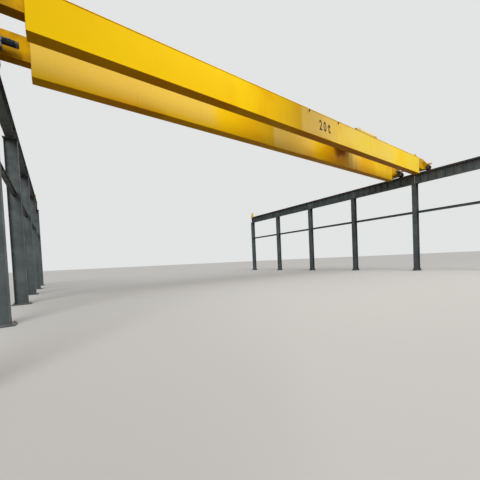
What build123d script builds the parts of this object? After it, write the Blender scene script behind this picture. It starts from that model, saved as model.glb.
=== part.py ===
from build123d import *
import math
import os

# A double girder overhead crane on its runway, in millimetres.
# X runs along the girders, across the hall. Y runs along the runway. Z is up.
# The origin is on the ground, in the middle of the runway's footprint.

# Runway
span = 28500
bay_length = 6000
bay_count = 6
rail_top = 8800
rail_height = 130
rail_head_width = 80
rail_head_depth = 36
rail_base_width = 130
rail_base_thickness = 18
rail_web_thickness = 32
beam_depth = 800
beam_flange_width = 350
beam_flange_thickness = 18
beam_web_thickness = 12
beam_joint_gap = 12
beam_overhang = 250
stiffener_pitch = 600
stiffener_thickness = 10
stiffener_inset = 15
column_depth = 500
column_width = 350
column_flange_thickness = 18
column_web_thickness = 12
cap_plate_length = 560
cap_plate_width = 480
cap_plate_thickness = 30
base_plate_length = 740
base_plate_width = 560
base_plate_thickness = 40
anchor_spacing_x = 620
anchor_spacing_y = 420
anchor_hole_radius = 18
base_rib_height = 260
base_rib_thickness = 14
stop_length = 350
stop_width = 220
stop_plate_thickness = 25
stop_rise = 660
stop_rail_gap = 20
strut_height = 5300
strut_depth = 200
strut_width = 150
strut_flange_thickness = 10
strut_web_thickness = 8

# Bridge girders
bridge_y = -5490
girder_centres = 2200
girder_depth = 1360
girder_drop = 380
girder_end_setback = 1100
top_flange_width = 430
bottom_flange_width = 480
top_flange_thickness = 22
bottom_flange_thickness = 20
web_thickness = 10
web_outer_spacing = 400
end_plate_thickness = 14

# Girder heads, which carry each girder end on its truck
head_width = 360
head_plate = 14
head_underside = 120
head_nose_chamfer = 160
head_gusset_drop = 70
head_gusset_reach = 400
head_truck_gap = 20

# End trucks
truck_half_length = 420
truck_width = 380
truck_top = 600
truck_bottom = 110
truck_plate = 14
truck_floor_half_length = 190
truck_notch_height = 330
truck_notch_inset = 100
hand_hole_radius = 75
hand_hole_height = 430
wheel_offset = 470
wheel_tread_radius = 200
wheel_flange_rise = 25
wheel_tread_width = 112
wheel_flange_width = 20
wheel_web_width = 50
wheel_hub_radius = 80
wheel_rim_depth = 40
axle_radius = 50
rail_running_gap = 0.3
bearing_box_length = 290
bearing_box_height = 250
bearing_cover_radius = 95
bearing_cover_thickness = 18
tie_size = 100
tie_wall = 8
tie_height = 500
buffer_height = 510
buffer_arm_size = 100
buffer_radius = 75
buffer_length = 190
buffer_plate_thickness = 16
buffer_plate_size = 150
buffer_wheel_clearance = 60

# Bridge drives
drive_gearbox_length = 230
drive_gearbox_width = 170
drive_gearbox_height = 420
drive_gearbox_low = 90
drive_fillet = 30
drive_motor_radius = 105
drive_motor_length = 380
drive_motor_height = 390
drive_fan_cover_length = 70
drive_fan_cover_radius = 95

# Trolley rails and their stops
trolley_rail_height = 35
trolley_rail_width = 50
trolley_rail_setback = 230
trolley_stop_length = 180
trolley_stop_width = 120
trolley_stop_height = 330

# Trolley
trolley_x = 5200
trolley_half_length = 1260
side_frame_width = 160
side_frame_bottom = 110
side_frame_top = 280
side_frame_plate = 10
trolley_wheel_offset = 1000
trolley_wheel_radius = 105
trolley_wheel_flange_rise = 12
trolley_wheel_tread_width = 60
trolley_wheel_flange_width = 14
trolley_wheel_rim_depth = 20
trolley_wheel_hub_radius = 45
trolley_wheel_well = 30
trolley_axle_radius = 30
trolley_buffer_length = 90
trolley_buffer_radius = 50
cross_beam_offset = 620
cross_beam_width = 200
cross_beam_depth = 160
deck_thickness = 10
deck_opening_half_length = 380
deck_outer_edge = 1000

# Hoist
drum_height = 560
drum_core_radius = 200
drum_half_length = 620
drum_flange_radius = 240
drum_flange_thickness = 20
drum_shaft_radius = 50
wrap_thickness = 18
wrap_inner_edge = 175
wrap_outer_edge = 540
rope_radius = 9
rope_seat_gap = 0.3
fall_spacing = 300
pedestal_thickness = 60
pedestal_half_width = 150
pedestal_gap = 25
hoist_gearbox_length = 1040
hoist_gearbox_width = 200
hoist_gearbox_height = 480
hoist_gearbox_offset = 100
hoist_motor_radius = 170
hoist_motor_length = 620
hoist_motor_offset = 620
hoist_brake_radius = 130
hoist_brake_length = 150
hoist_shaft_radius = 35
hoist_shaft_length = 120
motor_foot_width = 220
sheave_rim_rise = 22
sheave_width = 56
sheave_hub_radius = 70
sheave_web_width = 18
equaliser_height = 290
equaliser_radius = 150
equaliser_pin_radius = 30
equaliser_arm_depth = 40
equaliser_bracket_thickness = 25
equaliser_bracket_half_width = 70
equaliser_pin_cap = 10
block_height = 30
hook_axle_radius = 45
cheek_thickness = 25
cheek_gap = 14
cheek_half_width = 170
cheek_top_rise = 240
cheek_foot_drop = 340
crosshead_height = 110
crosshead_width = 130
hook_shank_radius = 38
hook_shank_length = 75
hook_bowl_radius = 85
hook_wire_radius = 40
trolley_motor_radius = 80
trolley_motor_length = 300
trolley_gearbox_size = 190

# Levels and places that follow from the sizes above
beam_top = rail_top - rail_height
beam_bottom = beam_top - beam_depth
runway_half_length = bay_length * bay_count / 2
beam_end = runway_half_length + beam_overhang
stop_face = beam_end - stop_length
rail_end = stop_face - stop_rail_gap
rail_x = span / 2
girder_bottom = rail_top - girder_drop
girder_top = girder_bottom + girder_depth
girder_y = girder_centres / 2
girder_half_length = rail_x - girder_end_setback
trolley_rail_half_length = girder_half_length - trolley_rail_setback
wheel_axis_height = rail_top + rail_running_gap + wheel_tread_radius
truck_roof = rail_top + truck_top
truck_floor = rail_top + truck_bottom
truck_half_width = truck_width / 2
trolley_rail_top = girder_top + trolley_rail_height
trolley_axis_height = trolley_rail_top + rail_running_gap + trolley_wheel_radius
deck_level = girder_top + side_frame_top
rope_path_radius = drum_core_radius + rope_seat_gap + rope_radius
drum_axis_height = girder_top + drum_height
block_axis_height = girder_top + block_height
wrap_radius = drum_core_radius + wrap_thickness


def block(x_low, x_high, y_low, y_high, z_low, z_high):
    """A rectangular bar or plate between two corners."""
    size = (x_high - x_low, y_high - y_low, z_high - z_low)
    centre = ((x_low + x_high) / 2, (y_low + y_high) / 2, (z_low + z_high) / 2)
    return Pos(*centre) * Box(*size)


def rod_x(radius, x_low, x_high, y, z):
    """A round bar along X."""
    middle = (x_low + x_high) / 2
    return Pos(middle, y, z) * Rot(0, 90, 0) * Cylinder(radius, x_high - x_low)


def rod_y(radius, y_low, y_high, x, z):
    """A round bar along Y."""
    middle = (y_low + y_high) / 2
    return Pos(x, middle, z) * Rot(90, 0, 0) * Cylinder(radius, y_high - y_low)


def rod_z(radius, z_low, z_high, x, y):
    """A round bar along Z."""
    middle = (z_low + z_high) / 2
    return Pos(x, y, middle) * Cylinder(radius, z_high - z_low)


def plate_xz(points, y_low, y_high):
    """A flat plate with its outline given as X and Z points, thick along Y."""
    outline = Polyline(*[(x, 0, z) for x, z in points], close=True)
    face = make_face(outline)
    thick = extrude(face, amount=y_high - y_low, dir=(0, 1, 0))
    return Pos(0, y_low, 0) * thick


def plate_yz(points, x_low, x_high):
    """A flat plate with its outline given as Y and Z points, thick along X."""
    outline = Polyline(*[(0, y, z) for y, z in points], close=True)
    face = make_face(outline)
    thick = extrude(face, amount=x_high - x_low, dir=(1, 0, 0))
    return Pos(x_low, 0, 0) * thick


def rail_section(length_low, length_high, height, base_width, base_thickness,
                 web_thickness, head_width_, head_depth):
    """A flat-bottomed crane rail along Y, standing on Z = 0 with its middle at X = 0."""
    base = block(-base_width / 2, base_width / 2, length_low, length_high, 0, base_thickness)
    web = block(-web_thickness / 2, web_thickness / 2, length_low, length_high,
                base_thickness, height - head_depth)
    head = block(-head_width_ / 2, head_width_ / 2, length_low, length_high,
                 height - head_depth, height)
    return base + web + head


def mirrored_x(shape):
    """The same piece on the other side of the hall."""
    return mirror(shape, about=Plane.YZ)


def mirrored_y(shape):
    """The same piece on the other side of the crane's middle line."""
    return mirror(shape, about=Plane.XZ)


# Runway pieces

def column(y):
    """An H column with its base plate, base ribs and cap plate, under the right-hand rail."""
    base = block(-base_plate_length / 2, base_plate_length / 2,
                 -base_plate_width / 2, base_plate_width / 2, 0, base_plate_thickness)
    for x_side in (-1, 1):
        for y_side in (-1, 1):
            centre = (x_side * anchor_spacing_x / 2, y_side * anchor_spacing_y / 2)
            base -= rod_z(anchor_hole_radius, 0, base_plate_thickness, *centre)
    top = beam_bottom - cap_plate_thickness
    shaft = block(-column_depth / 2, column_depth / 2,
                  -column_web_thickness / 2, column_web_thickness / 2, base_plate_thickness, top)
    for side in (-1, 1):
        outer = side * column_depth / 2
        inner = outer - side * column_flange_thickness
        shaft += block(min(outer, inner), max(outer, inner),
                       -column_width / 2, column_width / 2, base_plate_thickness, top)
    cap = block(-cap_plate_length / 2, cap_plate_length / 2,
                -cap_plate_width / 2, cap_plate_width / 2, top, beam_bottom)
    rib_outline = [(column_width / 2, base_plate_thickness),
                   (base_plate_width / 2, base_plate_thickness),
                   (column_width / 2, base_plate_thickness + base_rib_height)]
    ribs = []
    for side in (-1, 1):
        middle = side * (column_depth / 2 - column_flange_thickness / 2)
        rib = plate_yz(rib_outline, middle - base_rib_thickness / 2,
                       middle + base_rib_thickness / 2)
        ribs += [rib, mirrored_y(rib)]
    return Pos(rail_x, y, 0) * (base + shaft + cap + ribs)


def runway_beam(y_low, y_high):
    """One welded I-beam of the right-hand runway, with its stiffeners."""
    web_low = beam_bottom + beam_flange_thickness
    web_high = beam_top - beam_flange_thickness
    bottom = block(-beam_flange_width / 2, beam_flange_width / 2, y_low, y_high,
                   beam_bottom, web_low)
    top = block(-beam_flange_width / 2, beam_flange_width / 2, y_low, y_high,
                web_high, beam_top)
    web = block(-beam_web_thickness / 2, beam_web_thickness / 2, y_low, y_high,
                web_low, web_high)
    reach = beam_flange_width / 2 - stiffener_inset
    first = math.ceil(y_low / stiffener_pitch)
    last = math.floor(y_high / stiffener_pitch)
    stiffeners = []
    for index in range(first, last + 1):
        y = index * stiffener_pitch
        inside = max(y, y_low + stiffener_pitch / 4)
        y = min(inside, y_high - stiffener_pitch / 4)
        stiffeners.append(block(-reach, reach, y - stiffener_thickness / 2,
                                y + stiffener_thickness / 2, web_low, web_high))
    return Pos(rail_x, 0, 0) * (bottom + top + web + stiffeners)


def runway_beams():
    """The right-hand row of beams, one for each bay, with a narrow joint over each column."""
    beams = []
    for index in range(bay_count):
        y_low = -runway_half_length + index * bay_length + beam_joint_gap / 2
        y_high = y_low + bay_length - beam_joint_gap
        if index == 0:
            y_low = -beam_end
        if index == bay_count - 1:
            y_high = beam_end
        beams.append(runway_beam(y_low, y_high))
    return beams


def runway_columns():
    """The right-hand row of columns, one at each end of every bay."""
    rows = range(bay_count + 1)
    return [column(-runway_half_length + index * bay_length) for index in rows]


def runway_struts():
    """The right-hand row of light I-beams that brace each column to the next, part way up."""
    low = strut_height - strut_depth / 2
    high = strut_height + strut_depth / 2
    struts = []
    for index in range(bay_count):
        start = -runway_half_length + index * bay_length + column_web_thickness / 2
        end = start + bay_length - column_web_thickness
        strut = block(-strut_width / 2, strut_width / 2, start, end,
                      low, low + strut_flange_thickness)
        strut += block(-strut_width / 2, strut_width / 2, start, end,
                       high - strut_flange_thickness, high)
        strut += block(-strut_web_thickness / 2, strut_web_thickness / 2, start, end,
                       low + strut_flange_thickness, high - strut_flange_thickness)
        struts.append(Pos(rail_x, 0, 0) * strut)
    return struts


def runway_rail():
    """The right-hand crane rail."""
    rail = rail_section(-rail_end, rail_end, rail_height, rail_base_width, rail_base_thickness,
                        rail_web_thickness, rail_head_width, rail_head_depth)
    return Pos(rail_x, 0, beam_top) * rail


def runway_stop():
    """The stop at the far end of the right-hand rail: a face plate and two braces."""
    low = beam_top
    high = rail_top + stop_rise
    face = block(-stop_width / 2, stop_width / 2, stop_face,
                 stop_face + stop_plate_thickness, low, high)
    foot = block(-stop_width / 2, stop_width / 2, stop_face, beam_end,
                 low, low + stop_plate_thickness)
    outline = [(stop_face + stop_plate_thickness, low + stop_plate_thickness),
               (beam_end, low + stop_plate_thickness),
               (stop_face + stop_plate_thickness + stop_length / 4, high),
               (stop_face + stop_plate_thickness, high)]
    braces = []
    for side in (-1, 1):
        middle = side * (stop_width / 2 - stop_plate_thickness)
        braces.append(plate_yz(outline, middle - stop_plate_thickness / 2,
                               middle + stop_plate_thickness / 2))
    return Pos(rail_x, 0, 0) * (face + foot + braces)


# Bridge pieces, about the crane's own middle line at Y = 0

def top_flange(y):
    """The top plate of one girder."""
    return block(-girder_half_length, girder_half_length, y - top_flange_width / 2,
                 y + top_flange_width / 2, girder_top - top_flange_thickness, girder_top)


def bottom_flange(y):
    """The bottom plate of one girder."""
    return block(-girder_half_length, girder_half_length, y - bottom_flange_width / 2,
                 y + bottom_flange_width / 2, girder_bottom, girder_bottom + bottom_flange_thickness)


def webs(y):
    """The two side plates of one girder, between its flanges and its end plates."""
    reach = girder_half_length - end_plate_thickness
    plates = []
    for side in (-1, 1):
        outer = y + side * web_outer_spacing / 2
        inner = outer - side * web_thickness
        plates.append(block(-reach, reach, min(outer, inner), max(outer, inner),
                            girder_bottom + bottom_flange_thickness,
                            girder_top - top_flange_thickness))
    return plates


def girder_head(y):
    """The stub from the right-hand end of a girder out over its truck, with the end plate."""
    end_plate = block(girder_half_length - end_plate_thickness, girder_half_length,
                      y - web_outer_spacing / 2, y + web_outer_spacing / 2,
                      girder_bottom + bottom_flange_thickness, girder_top - top_flange_thickness)
    inner_x = girder_half_length
    step_x = rail_x - truck_half_width - head_truck_gap
    outer_x = rail_x + truck_half_width
    underside = rail_top + head_underside
    outline = [(inner_x, underside), (step_x, underside), (step_x, truck_roof),
               (outer_x, truck_roof), (outer_x, girder_top - head_nose_chamfer),
               (outer_x - head_nose_chamfer, girder_top), (inner_x, girder_top)]
    shell = plate_xz(outline, y - head_width / 2, y + head_width / 2)
    hollow = [(inner_x, underside + head_plate), (step_x - head_plate, underside + head_plate),
              (step_x - head_plate, truck_roof + head_plate),
              (outer_x - head_plate, truck_roof + head_plate),
              (outer_x - head_plate, girder_top - head_nose_chamfer),
              (outer_x - head_nose_chamfer, girder_top - head_plate),
              (inner_x, girder_top - head_plate)]
    shell -= plate_xz(hollow, y - head_width / 2 + head_plate, y + head_width / 2 - head_plate)
    gusset_outline = [(y - head_width / 2, girder_top - head_gusset_drop),
                      (y - head_width / 2, truck_roof), (y - head_gusset_reach, truck_roof)]
    gussets = []
    for side in (-1, 1):
        face = rail_x + side * truck_half_width
        low = min(face, face - side * head_plate)
        gusset = plate_yz(gusset_outline, low, low + head_plate)
        if side > 0:
            gusset = Pos(-head_nose_chamfer, 0, 0) * gusset
        other = Pos(0, 2 * y, 0) * mirrored_y(gusset)
        gussets += [gusset, other]
    return end_plate + shell + gussets


def truck(y):
    """The right-hand truck under one girder: two cheeks, roof, floor, bulkheads and end plates."""
    cheek_outline = [
        (-truck_half_length, truck_roof - truck_plate),
        (-truck_half_length, rail_top + truck_notch_height),
        (-truck_half_length + truck_notch_inset, rail_top + truck_notch_height),
        (-truck_half_length + truck_notch_inset, truck_floor),
        (truck_half_length - truck_notch_inset, truck_floor),
        (truck_half_length - truck_notch_inset, rail_top + truck_notch_height),
        (truck_half_length, rail_top + truck_notch_height),
        (truck_half_length, truck_roof - truck_plate)]
    body = block(-truck_half_width, truck_half_width, -truck_half_length, truck_half_length,
                 truck_roof - truck_plate, truck_roof)
    for side in (-1, 1):
        face = side * truck_half_width
        low = min(face, face - side * truck_plate)
        cheek = plate_yz(cheek_outline, low, low + truck_plate)
        cheek -= rod_x(hand_hole_radius, low, low + truck_plate, 0, rail_top + hand_hole_height)
        body += cheek
    inside = truck_half_width - truck_plate
    body += block(-inside, inside, -truck_floor_half_length, truck_floor_half_length,
                  truck_floor, truck_floor + truck_plate)
    end_low = wheel_axis_height + wheel_tread_radius + 2 * wheel_flange_rise
    for side in (-1, 1):
        wall = side * (truck_floor_half_length - truck_plate / 2)
        body += block(-inside, inside, wall - truck_plate / 2, wall + truck_plate / 2,
                      truck_floor + truck_plate, truck_roof - truck_plate)
        wall = side * (truck_half_length - truck_plate / 2)
        body += block(-inside, inside, wall - truck_plate / 2, wall + truck_plate / 2,
                      end_low, truck_roof - truck_plate)
    return Pos(rail_x, y, 0) * body


def wheel(tread_radius, flange_rise, tread_width, flange_width_, hub_radius, web_width,
          rim_depth, shaft_radius, shaft_half_length):
    """A double-flanged wheel on its axle, about the X axis."""
    half = tread_width / 2 + flange_width_
    rim = tread_radius - rim_depth
    outline = [(0, 0), (shaft_half_length, 0), (shaft_half_length, shaft_radius),
               (half, shaft_radius), (half, hub_radius), (web_width / 2, hub_radius),
               (web_width / 2, rim), (half, rim), (half, tread_radius + flange_rise),
               (tread_width / 2, tread_radius + flange_rise), (tread_width / 2, tread_radius),
               (0, tread_radius)]
    face = make_face(Polyline(*[(x, 0, r) for x, r in outline], close=True))
    half_wheel = revolve(face, axis=Axis.X)
    return half_wheel + mirror(half_wheel, about=Plane.YZ)


def travel_wheels(y):
    """The two wheels of the right-hand truck under one girder."""
    half = truck_half_width - bearing_depth()
    one = wheel(wheel_tread_radius, wheel_flange_rise, wheel_tread_width, wheel_flange_width,
                wheel_hub_radius, wheel_web_width, wheel_rim_depth, axle_radius, half)
    places = (y - wheel_offset, y + wheel_offset)
    return [Pos(rail_x, place, wheel_axis_height) * one for place in places]


def bearing_depth():
    """How far a bearing box reaches in from the truck's cheek towards the wheel."""
    wheel_side = wheel_tread_width / 2 + wheel_flange_width
    return (truck_half_width - wheel_side) * 3 / 4


def bearing_boxes(y):
    """The four corner bearing boxes of the right-hand truck under one girder."""
    boxes = []
    depth = bearing_depth()
    high = rail_top + truck_notch_height
    for end in (-1, 1):
        near = truck_half_length - truck_notch_inset
        far = near + bearing_box_length
        for side in (-1, 1):
            outer = side * truck_half_width
            inner = outer - side * depth
            box = block(min(outer, inner), max(outer, inner), min(end * near, end * far),
                        max(end * near, end * far), high - bearing_box_height, high)
            cover = rod_x(bearing_cover_radius, min(outer, outer + side * bearing_cover_thickness),
                          max(outer, outer + side * bearing_cover_thickness),
                          end * wheel_offset, wheel_axis_height)
            boxes.append(Pos(rail_x, y, 0) * (box + cover))
    return boxes


def tie_beam():
    """The square tube that ties the two right-hand trucks together."""
    reach = girder_y - truck_half_length
    half = tie_size / 2
    middle = rail_top + tie_height
    tube = block(-half, half, -reach, reach, middle - half, middle + half)
    inner = half - tie_wall
    tube -= block(-inner, inner, -reach, reach, middle - inner, middle + inner)
    return Pos(rail_x, 0, 0) * tube


def buffer_face():
    """How far the buffers reach from the middle of their truck: past the wheels, squashed or not."""
    wheel_reach = wheel_offset + wheel_tread_radius + wheel_flange_rise
    return wheel_reach + buffer_wheel_clearance


def buffer_back():
    """Where the buffer's back plate starts, from the middle of its truck."""
    return buffer_face() - buffer_length - buffer_plate_thickness


def travel_buffer():
    """The round buffer at the far end of the right-hand trucks."""
    start = girder_y + buffer_face() - buffer_length
    return rod_y(buffer_radius, start, start + buffer_length, rail_x, rail_top + buffer_height)


def buffer_arm():
    """The square tube and back plate that carry that buffer out past the wheels."""
    start = girder_y + truck_half_length
    end = girder_y + buffer_back()
    middle = rail_top + buffer_height
    half = buffer_arm_size / 2
    arm = block(-half, half, start, end, middle - half, middle + half)
    inner = half - tie_wall
    arm -= block(-inner, inner, start, end, middle - inner, middle + inner)
    edge = buffer_plate_size / 2
    arm += block(-edge, edge, end, end + buffer_plate_thickness, middle - edge, middle + edge)
    return Pos(rail_x, 0, 0) * arm


def travel_gearbox():
    """The gearbox on the inner wheel of the right-hand far truck."""
    y = girder_y - wheel_offset
    face = rail_x - truck_half_width - bearing_cover_thickness
    low = rail_top + drive_gearbox_low
    body = block(face - drive_gearbox_width, face, y - drive_gearbox_length / 2,
                 y + drive_gearbox_length / 2, low, low + drive_gearbox_height)
    return fillet(body.edges().filter_by(Axis.X), drive_fillet)


def travel_motor():
    """The motor on that gearbox, lying along X, with its fan cover."""
    y = girder_y - wheel_offset
    face = rail_x - truck_half_width - bearing_cover_thickness - drive_gearbox_width
    z = rail_top + drive_motor_height
    body = rod_x(drive_motor_radius, face - drive_motor_length, face, y, z)
    end = face - drive_motor_length
    cover = rod_x(drive_fan_cover_radius, end - drive_fan_cover_length, end, y, z)
    return body + cover


def trolley_rail(y):
    """The flat bar on top of one girder that the trolley runs on."""
    half = trolley_rail_width / 2
    return block(-trolley_rail_half_length, trolley_rail_half_length, y - half, y + half,
                 girder_top, trolley_rail_top)


def trolley_stop(y):
    """The stop past the right-hand end of one trolley rail."""
    x = trolley_rail_half_length
    outline = [(x, girder_top), (x + trolley_stop_length, girder_top),
               (x + trolley_stop_length / 3, girder_top + trolley_stop_height),
               (x, girder_top + trolley_stop_height)]
    return plate_xz(outline, y - trolley_stop_width / 2, y + trolley_stop_width / 2)


# Trolley pieces, about the trolley's own middle at X = 0 and Y = 0

def side_frame(y):
    """One side beam of the trolley: a hollow box with a well for each wheel."""
    low = girder_top + side_frame_bottom
    half = side_frame_width / 2
    beam = block(-trolley_half_length, trolley_half_length, y - half, y + half, low, deck_level)
    inner = half - side_frame_plate
    bottom_wells = trolley_wheel_radius + trolley_wheel_flange_rise + trolley_wheel_well
    core = trolley_wheel_offset - bottom_wells - side_frame_plate
    beam -= block(-core, core, y - inner, y + inner, low + side_frame_plate,
                  deck_level - side_frame_plate)
    for side in (-1, 1):
        middle = side * trolley_wheel_offset
        beam -= block(middle - bottom_wells, middle + bottom_wells, y - inner, y + inner,
                      low, deck_level - side_frame_plate)
    return beam


def trolley_wheels(y):
    """The two wheels that run on one trolley rail, turned to roll along X."""
    half = side_frame_width / 2 - side_frame_plate
    one = wheel(trolley_wheel_radius, trolley_wheel_flange_rise, trolley_wheel_tread_width,
                trolley_wheel_flange_width, trolley_wheel_hub_radius,
                trolley_wheel_tread_width / 2, trolley_wheel_rim_depth,
                trolley_axle_radius, half)
    turned = Rot(0, 0, 90) * one
    places = (-trolley_wheel_offset, trolley_wheel_offset)
    return [Pos(place, y, trolley_axis_height) * turned for place in places]


def trolley_buffers():
    """The four buffers on the ends of the side beams."""
    buffers = []
    z = girder_top + (side_frame_bottom + side_frame_top) / 2
    for y in (-girder_y, girder_y):
        start = trolley_half_length
        buffers.append(rod_x(trolley_buffer_radius, start, start + trolley_buffer_length, y, z))
        buffers.append(rod_x(trolley_buffer_radius, -start - trolley_buffer_length, -start, y, z))
    return buffers


def cross_beams():
    """The two box beams between the side beams."""
    reach = girder_y - side_frame_width / 2
    half = cross_beam_width / 2
    beams = []
    for x in (-cross_beam_offset, cross_beam_offset):
        beam = block(x - half, x + half, -reach, reach, deck_level - cross_beam_depth, deck_level)
        wall = side_frame_plate
        beam -= block(x - half + wall, x + half - wall, -reach, reach,
                      deck_level - cross_beam_depth + wall, deck_level - wall)
        beams.append(beam)
    return beams


def decks():
    """The deck plates over each cross beam, with the rope opening left between them."""
    reach = girder_y + side_frame_width / 2
    plates = []
    for side in (-1, 1):
        near = side * deck_opening_half_length
        far = side * deck_outer_edge
        plates.append(block(min(near, far), max(near, far), -reach, reach,
                            deck_level, deck_level + deck_thickness))
    return plates


def drum():
    """The rope drum with its flanges, shaft ends and the rope wound on it."""
    length = drum_half_length
    body = rod_y(drum_core_radius, -length, length, 0, drum_axis_height)
    for side in (-1, 1):
        near = side * wrap_inner_edge
        far = side * wrap_outer_edge
        body += rod_y(wrap_radius, min(near, far), max(near, far), 0, drum_axis_height)
        inner = side * (length - drum_flange_thickness)
        outer = side * length
        body += rod_y(drum_flange_radius, min(inner, outer), max(inner, outer),
                      0, drum_axis_height)
    end = length + pedestal_gap
    body += rod_y(drum_shaft_radius, -end, end, 0, drum_axis_height)
    return body


def pedestal():
    """The bearing stand at the near end of the drum, bridging the rope opening."""
    low = deck_level + deck_thickness
    start = -drum_half_length - pedestal_gap
    reach = deck_opening_half_length + pedestal_half_width
    outline = [(-reach, low), (reach, low), (reach, low + pedestal_thickness),
               (pedestal_half_width, drum_axis_height + drum_shaft_radius * 2),
               (-pedestal_half_width, drum_axis_height + drum_shaft_radius * 2),
               (-reach, low + pedestal_thickness)]
    return plate_xz(outline, start - pedestal_thickness, start)


def hoist_gearbox():
    """The hoist gearbox at the far end of the drum."""
    low = deck_level + deck_thickness
    start = drum_half_length + pedestal_gap
    middle = hoist_gearbox_offset
    half = hoist_gearbox_length / 2
    body = block(middle - half, middle + half, start, start + hoist_gearbox_width,
                 low, low + hoist_gearbox_height)
    return fillet(body.edges().filter_by(Axis.Y), drive_fillet)


def hoist_motor():
    """The hoist motor, on the same side of the gearbox as the drum, on two feet."""
    z = deck_level + deck_thickness + hoist_motor_radius + pedestal_gap
    far = drum_half_length + pedestal_gap - hoist_shaft_length - hoist_brake_length
    near = far - hoist_motor_length
    body = rod_y(hoist_motor_radius, near, far, hoist_motor_offset, z)
    low = deck_level + deck_thickness
    feet = block(hoist_motor_offset - motor_foot_width / 2, hoist_motor_offset
                 + motor_foot_width / 2, near + pedestal_gap, far - pedestal_gap, low, z)
    return body + feet


def hoist_brake():
    """The brake drum and shaft between the hoist motor and the gearbox."""
    z = deck_level + deck_thickness + hoist_motor_radius + pedestal_gap
    end = drum_half_length + pedestal_gap
    start = end - hoist_shaft_length - hoist_brake_length
    disc = rod_y(hoist_brake_radius, start, start + hoist_brake_length, hoist_motor_offset, z)
    shaft = rod_y(hoist_shaft_radius, start + hoist_brake_length, end, hoist_motor_offset, z)
    return disc + shaft


def sheave(path_radius, bore_radius):
    """A grooved rope sheave about the Y axis, with a bore for its pin."""
    half = sheave_width / 2
    seat = path_radius - rope_radius - rope_seat_gap
    rim = seat + sheave_rim_rise
    inner = seat - sheave_rim_rise
    web = sheave_web_width / 2
    groove = rope_radius * 3 / 2
    outline = [(0, bore_radius), (half, bore_radius), (half, sheave_hub_radius),
               (web, sheave_hub_radius), (web, inner), (half, inner), (half, rim),
               (groove, rim), (groove / 2, seat), (0, seat)]
    face = make_face(Polyline(*[(r, y, 0) for y, r in outline], close=True))
    half_sheave = revolve(face, axis=Axis.Y)
    return half_sheave + mirror(half_sheave, about=Plane.XZ)


def block_sheaves():
    """The two sheaves in the hook block."""
    one = sheave(rope_path_radius, hook_axle_radius + rope_seat_gap)
    places = (-fall_spacing / 2, fall_spacing / 2)
    return [Pos(0, y, block_axis_height) * one for y in places]


def equaliser_sheave():
    """The sheave under the drum that evens out the two falls of rope."""
    one = sheave(equaliser_radius, equaliser_pin_radius + rope_seat_gap)
    return Pos(-rope_path_radius, 0, girder_top + equaliser_height) * Rot(0, 0, 90) * one


def equaliser_bracket():
    """The arm from the cross beam, with the plate and the pin that hold the equaliser sheave."""
    x = -rope_path_radius
    z = girder_top + equaliser_height
    reach = sheave_width / 2 + cheek_gap
    half = equaliser_bracket_half_width
    arm_start = -cross_beam_offset + cross_beam_width / 2
    plate_end = x - reach
    plate_start = plate_end - equaliser_bracket_thickness
    body = block(arm_start, plate_start, -half, half, deck_level - equaliser_arm_depth, deck_level)
    body += block(plate_start, plate_end, -half, half, deck_level - equaliser_arm_depth,
                  z + 2 * equaliser_pin_radius)
    body += rod_x(equaliser_pin_radius, plate_end, x + reach, 0, z)
    body += rod_x(equaliser_pin_radius + equaliser_pin_cap, x + reach,
                  x + reach + equaliser_pin_cap, 0, z)
    return body


def hook_block():
    """The cheeks, pin and crosshead of the hook block."""
    z = block_axis_height
    inner = fall_spacing / 2 + sheave_width / 2 + cheek_gap
    body = rod_y(hook_axle_radius, -inner, inner, 0, z)
    half = cheek_half_width
    outline = [(-half, z + half), (-half / 2, z + cheek_top_rise), (half / 2, z + cheek_top_rise),
               (half, z + half), (half, z - half), (half / 2, z - cheek_foot_drop),
               (-half / 2, z - cheek_foot_drop), (-half, z - half)]
    for side in (-1, 1):
        near = side * inner
        far = near + side * cheek_thickness
        body += plate_xz(outline, min(near, far), max(near, far))
    high = z - cheek_foot_drop + crosshead_height
    body += block(-crosshead_width / 2, crosshead_width / 2, -inner, inner,
                  high - crosshead_height, high)
    return body


def hook():
    """The forged hook under the crosshead: a straight shank and a round bowl."""
    top = block_axis_height - cheek_foot_drop
    neck = top - hook_shank_length
    bowl = neck - hook_bowl_radius
    shank = rod_z(hook_shank_radius, neck, top, 0, 0)
    centre = Vector(0, 0, bowl)
    reach = hook_bowl_radius
    start = centre + Vector(0, 0, reach)
    middle = centre + Vector(0, -reach, 0)
    end = centre + Vector(0, 0, -reach)
    lip = centre + Vector(0, reach, 0)
    turn = ThreePointArc(start, middle, end)
    rise = ThreePointArc(end, centre + Vector(0, reach, -reach).normalized() * reach, lip)
    path = Wire([turn, rise])
    section = Plane(origin=start, z_dir=(0, -1, 0)) * Circle(hook_wire_radius)
    bend = sweep(section, path=path)
    nose = Pos(*lip) * Sphere(hook_wire_radius)
    return shank + bend + nose


def hoist_rope():
    """The rope from the drum round the hook block and over the equaliser sheave."""
    reach = rope_path_radius
    y = fall_spacing / 2
    low = block_axis_height
    turn = girder_top + equaliser_height
    near = [Vector(reach, -y, drum_axis_height), Vector(reach, -y, low),
            Vector(0, -y, low - reach), Vector(-reach, -y, low), Vector(-reach, -y, turn)]
    over = Vector(-reach, 0, turn + y)
    far = [Vector(p.X, y, p.Z) for p in reversed(near)]
    path = Wire([Line(near[0], near[1]), ThreePointArc(near[1], near[2], near[3]),
                 Line(near[3], near[4]), ThreePointArc(near[4], over, far[0]),
                 Line(far[0], far[1]), ThreePointArc(far[1], far[2], far[3]),
                 Line(far[3], far[4])])
    section = Plane(origin=near[0], z_dir=(0, 0, -1)) * Circle(rope_radius)
    return sweep(section, path=path)


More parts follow.
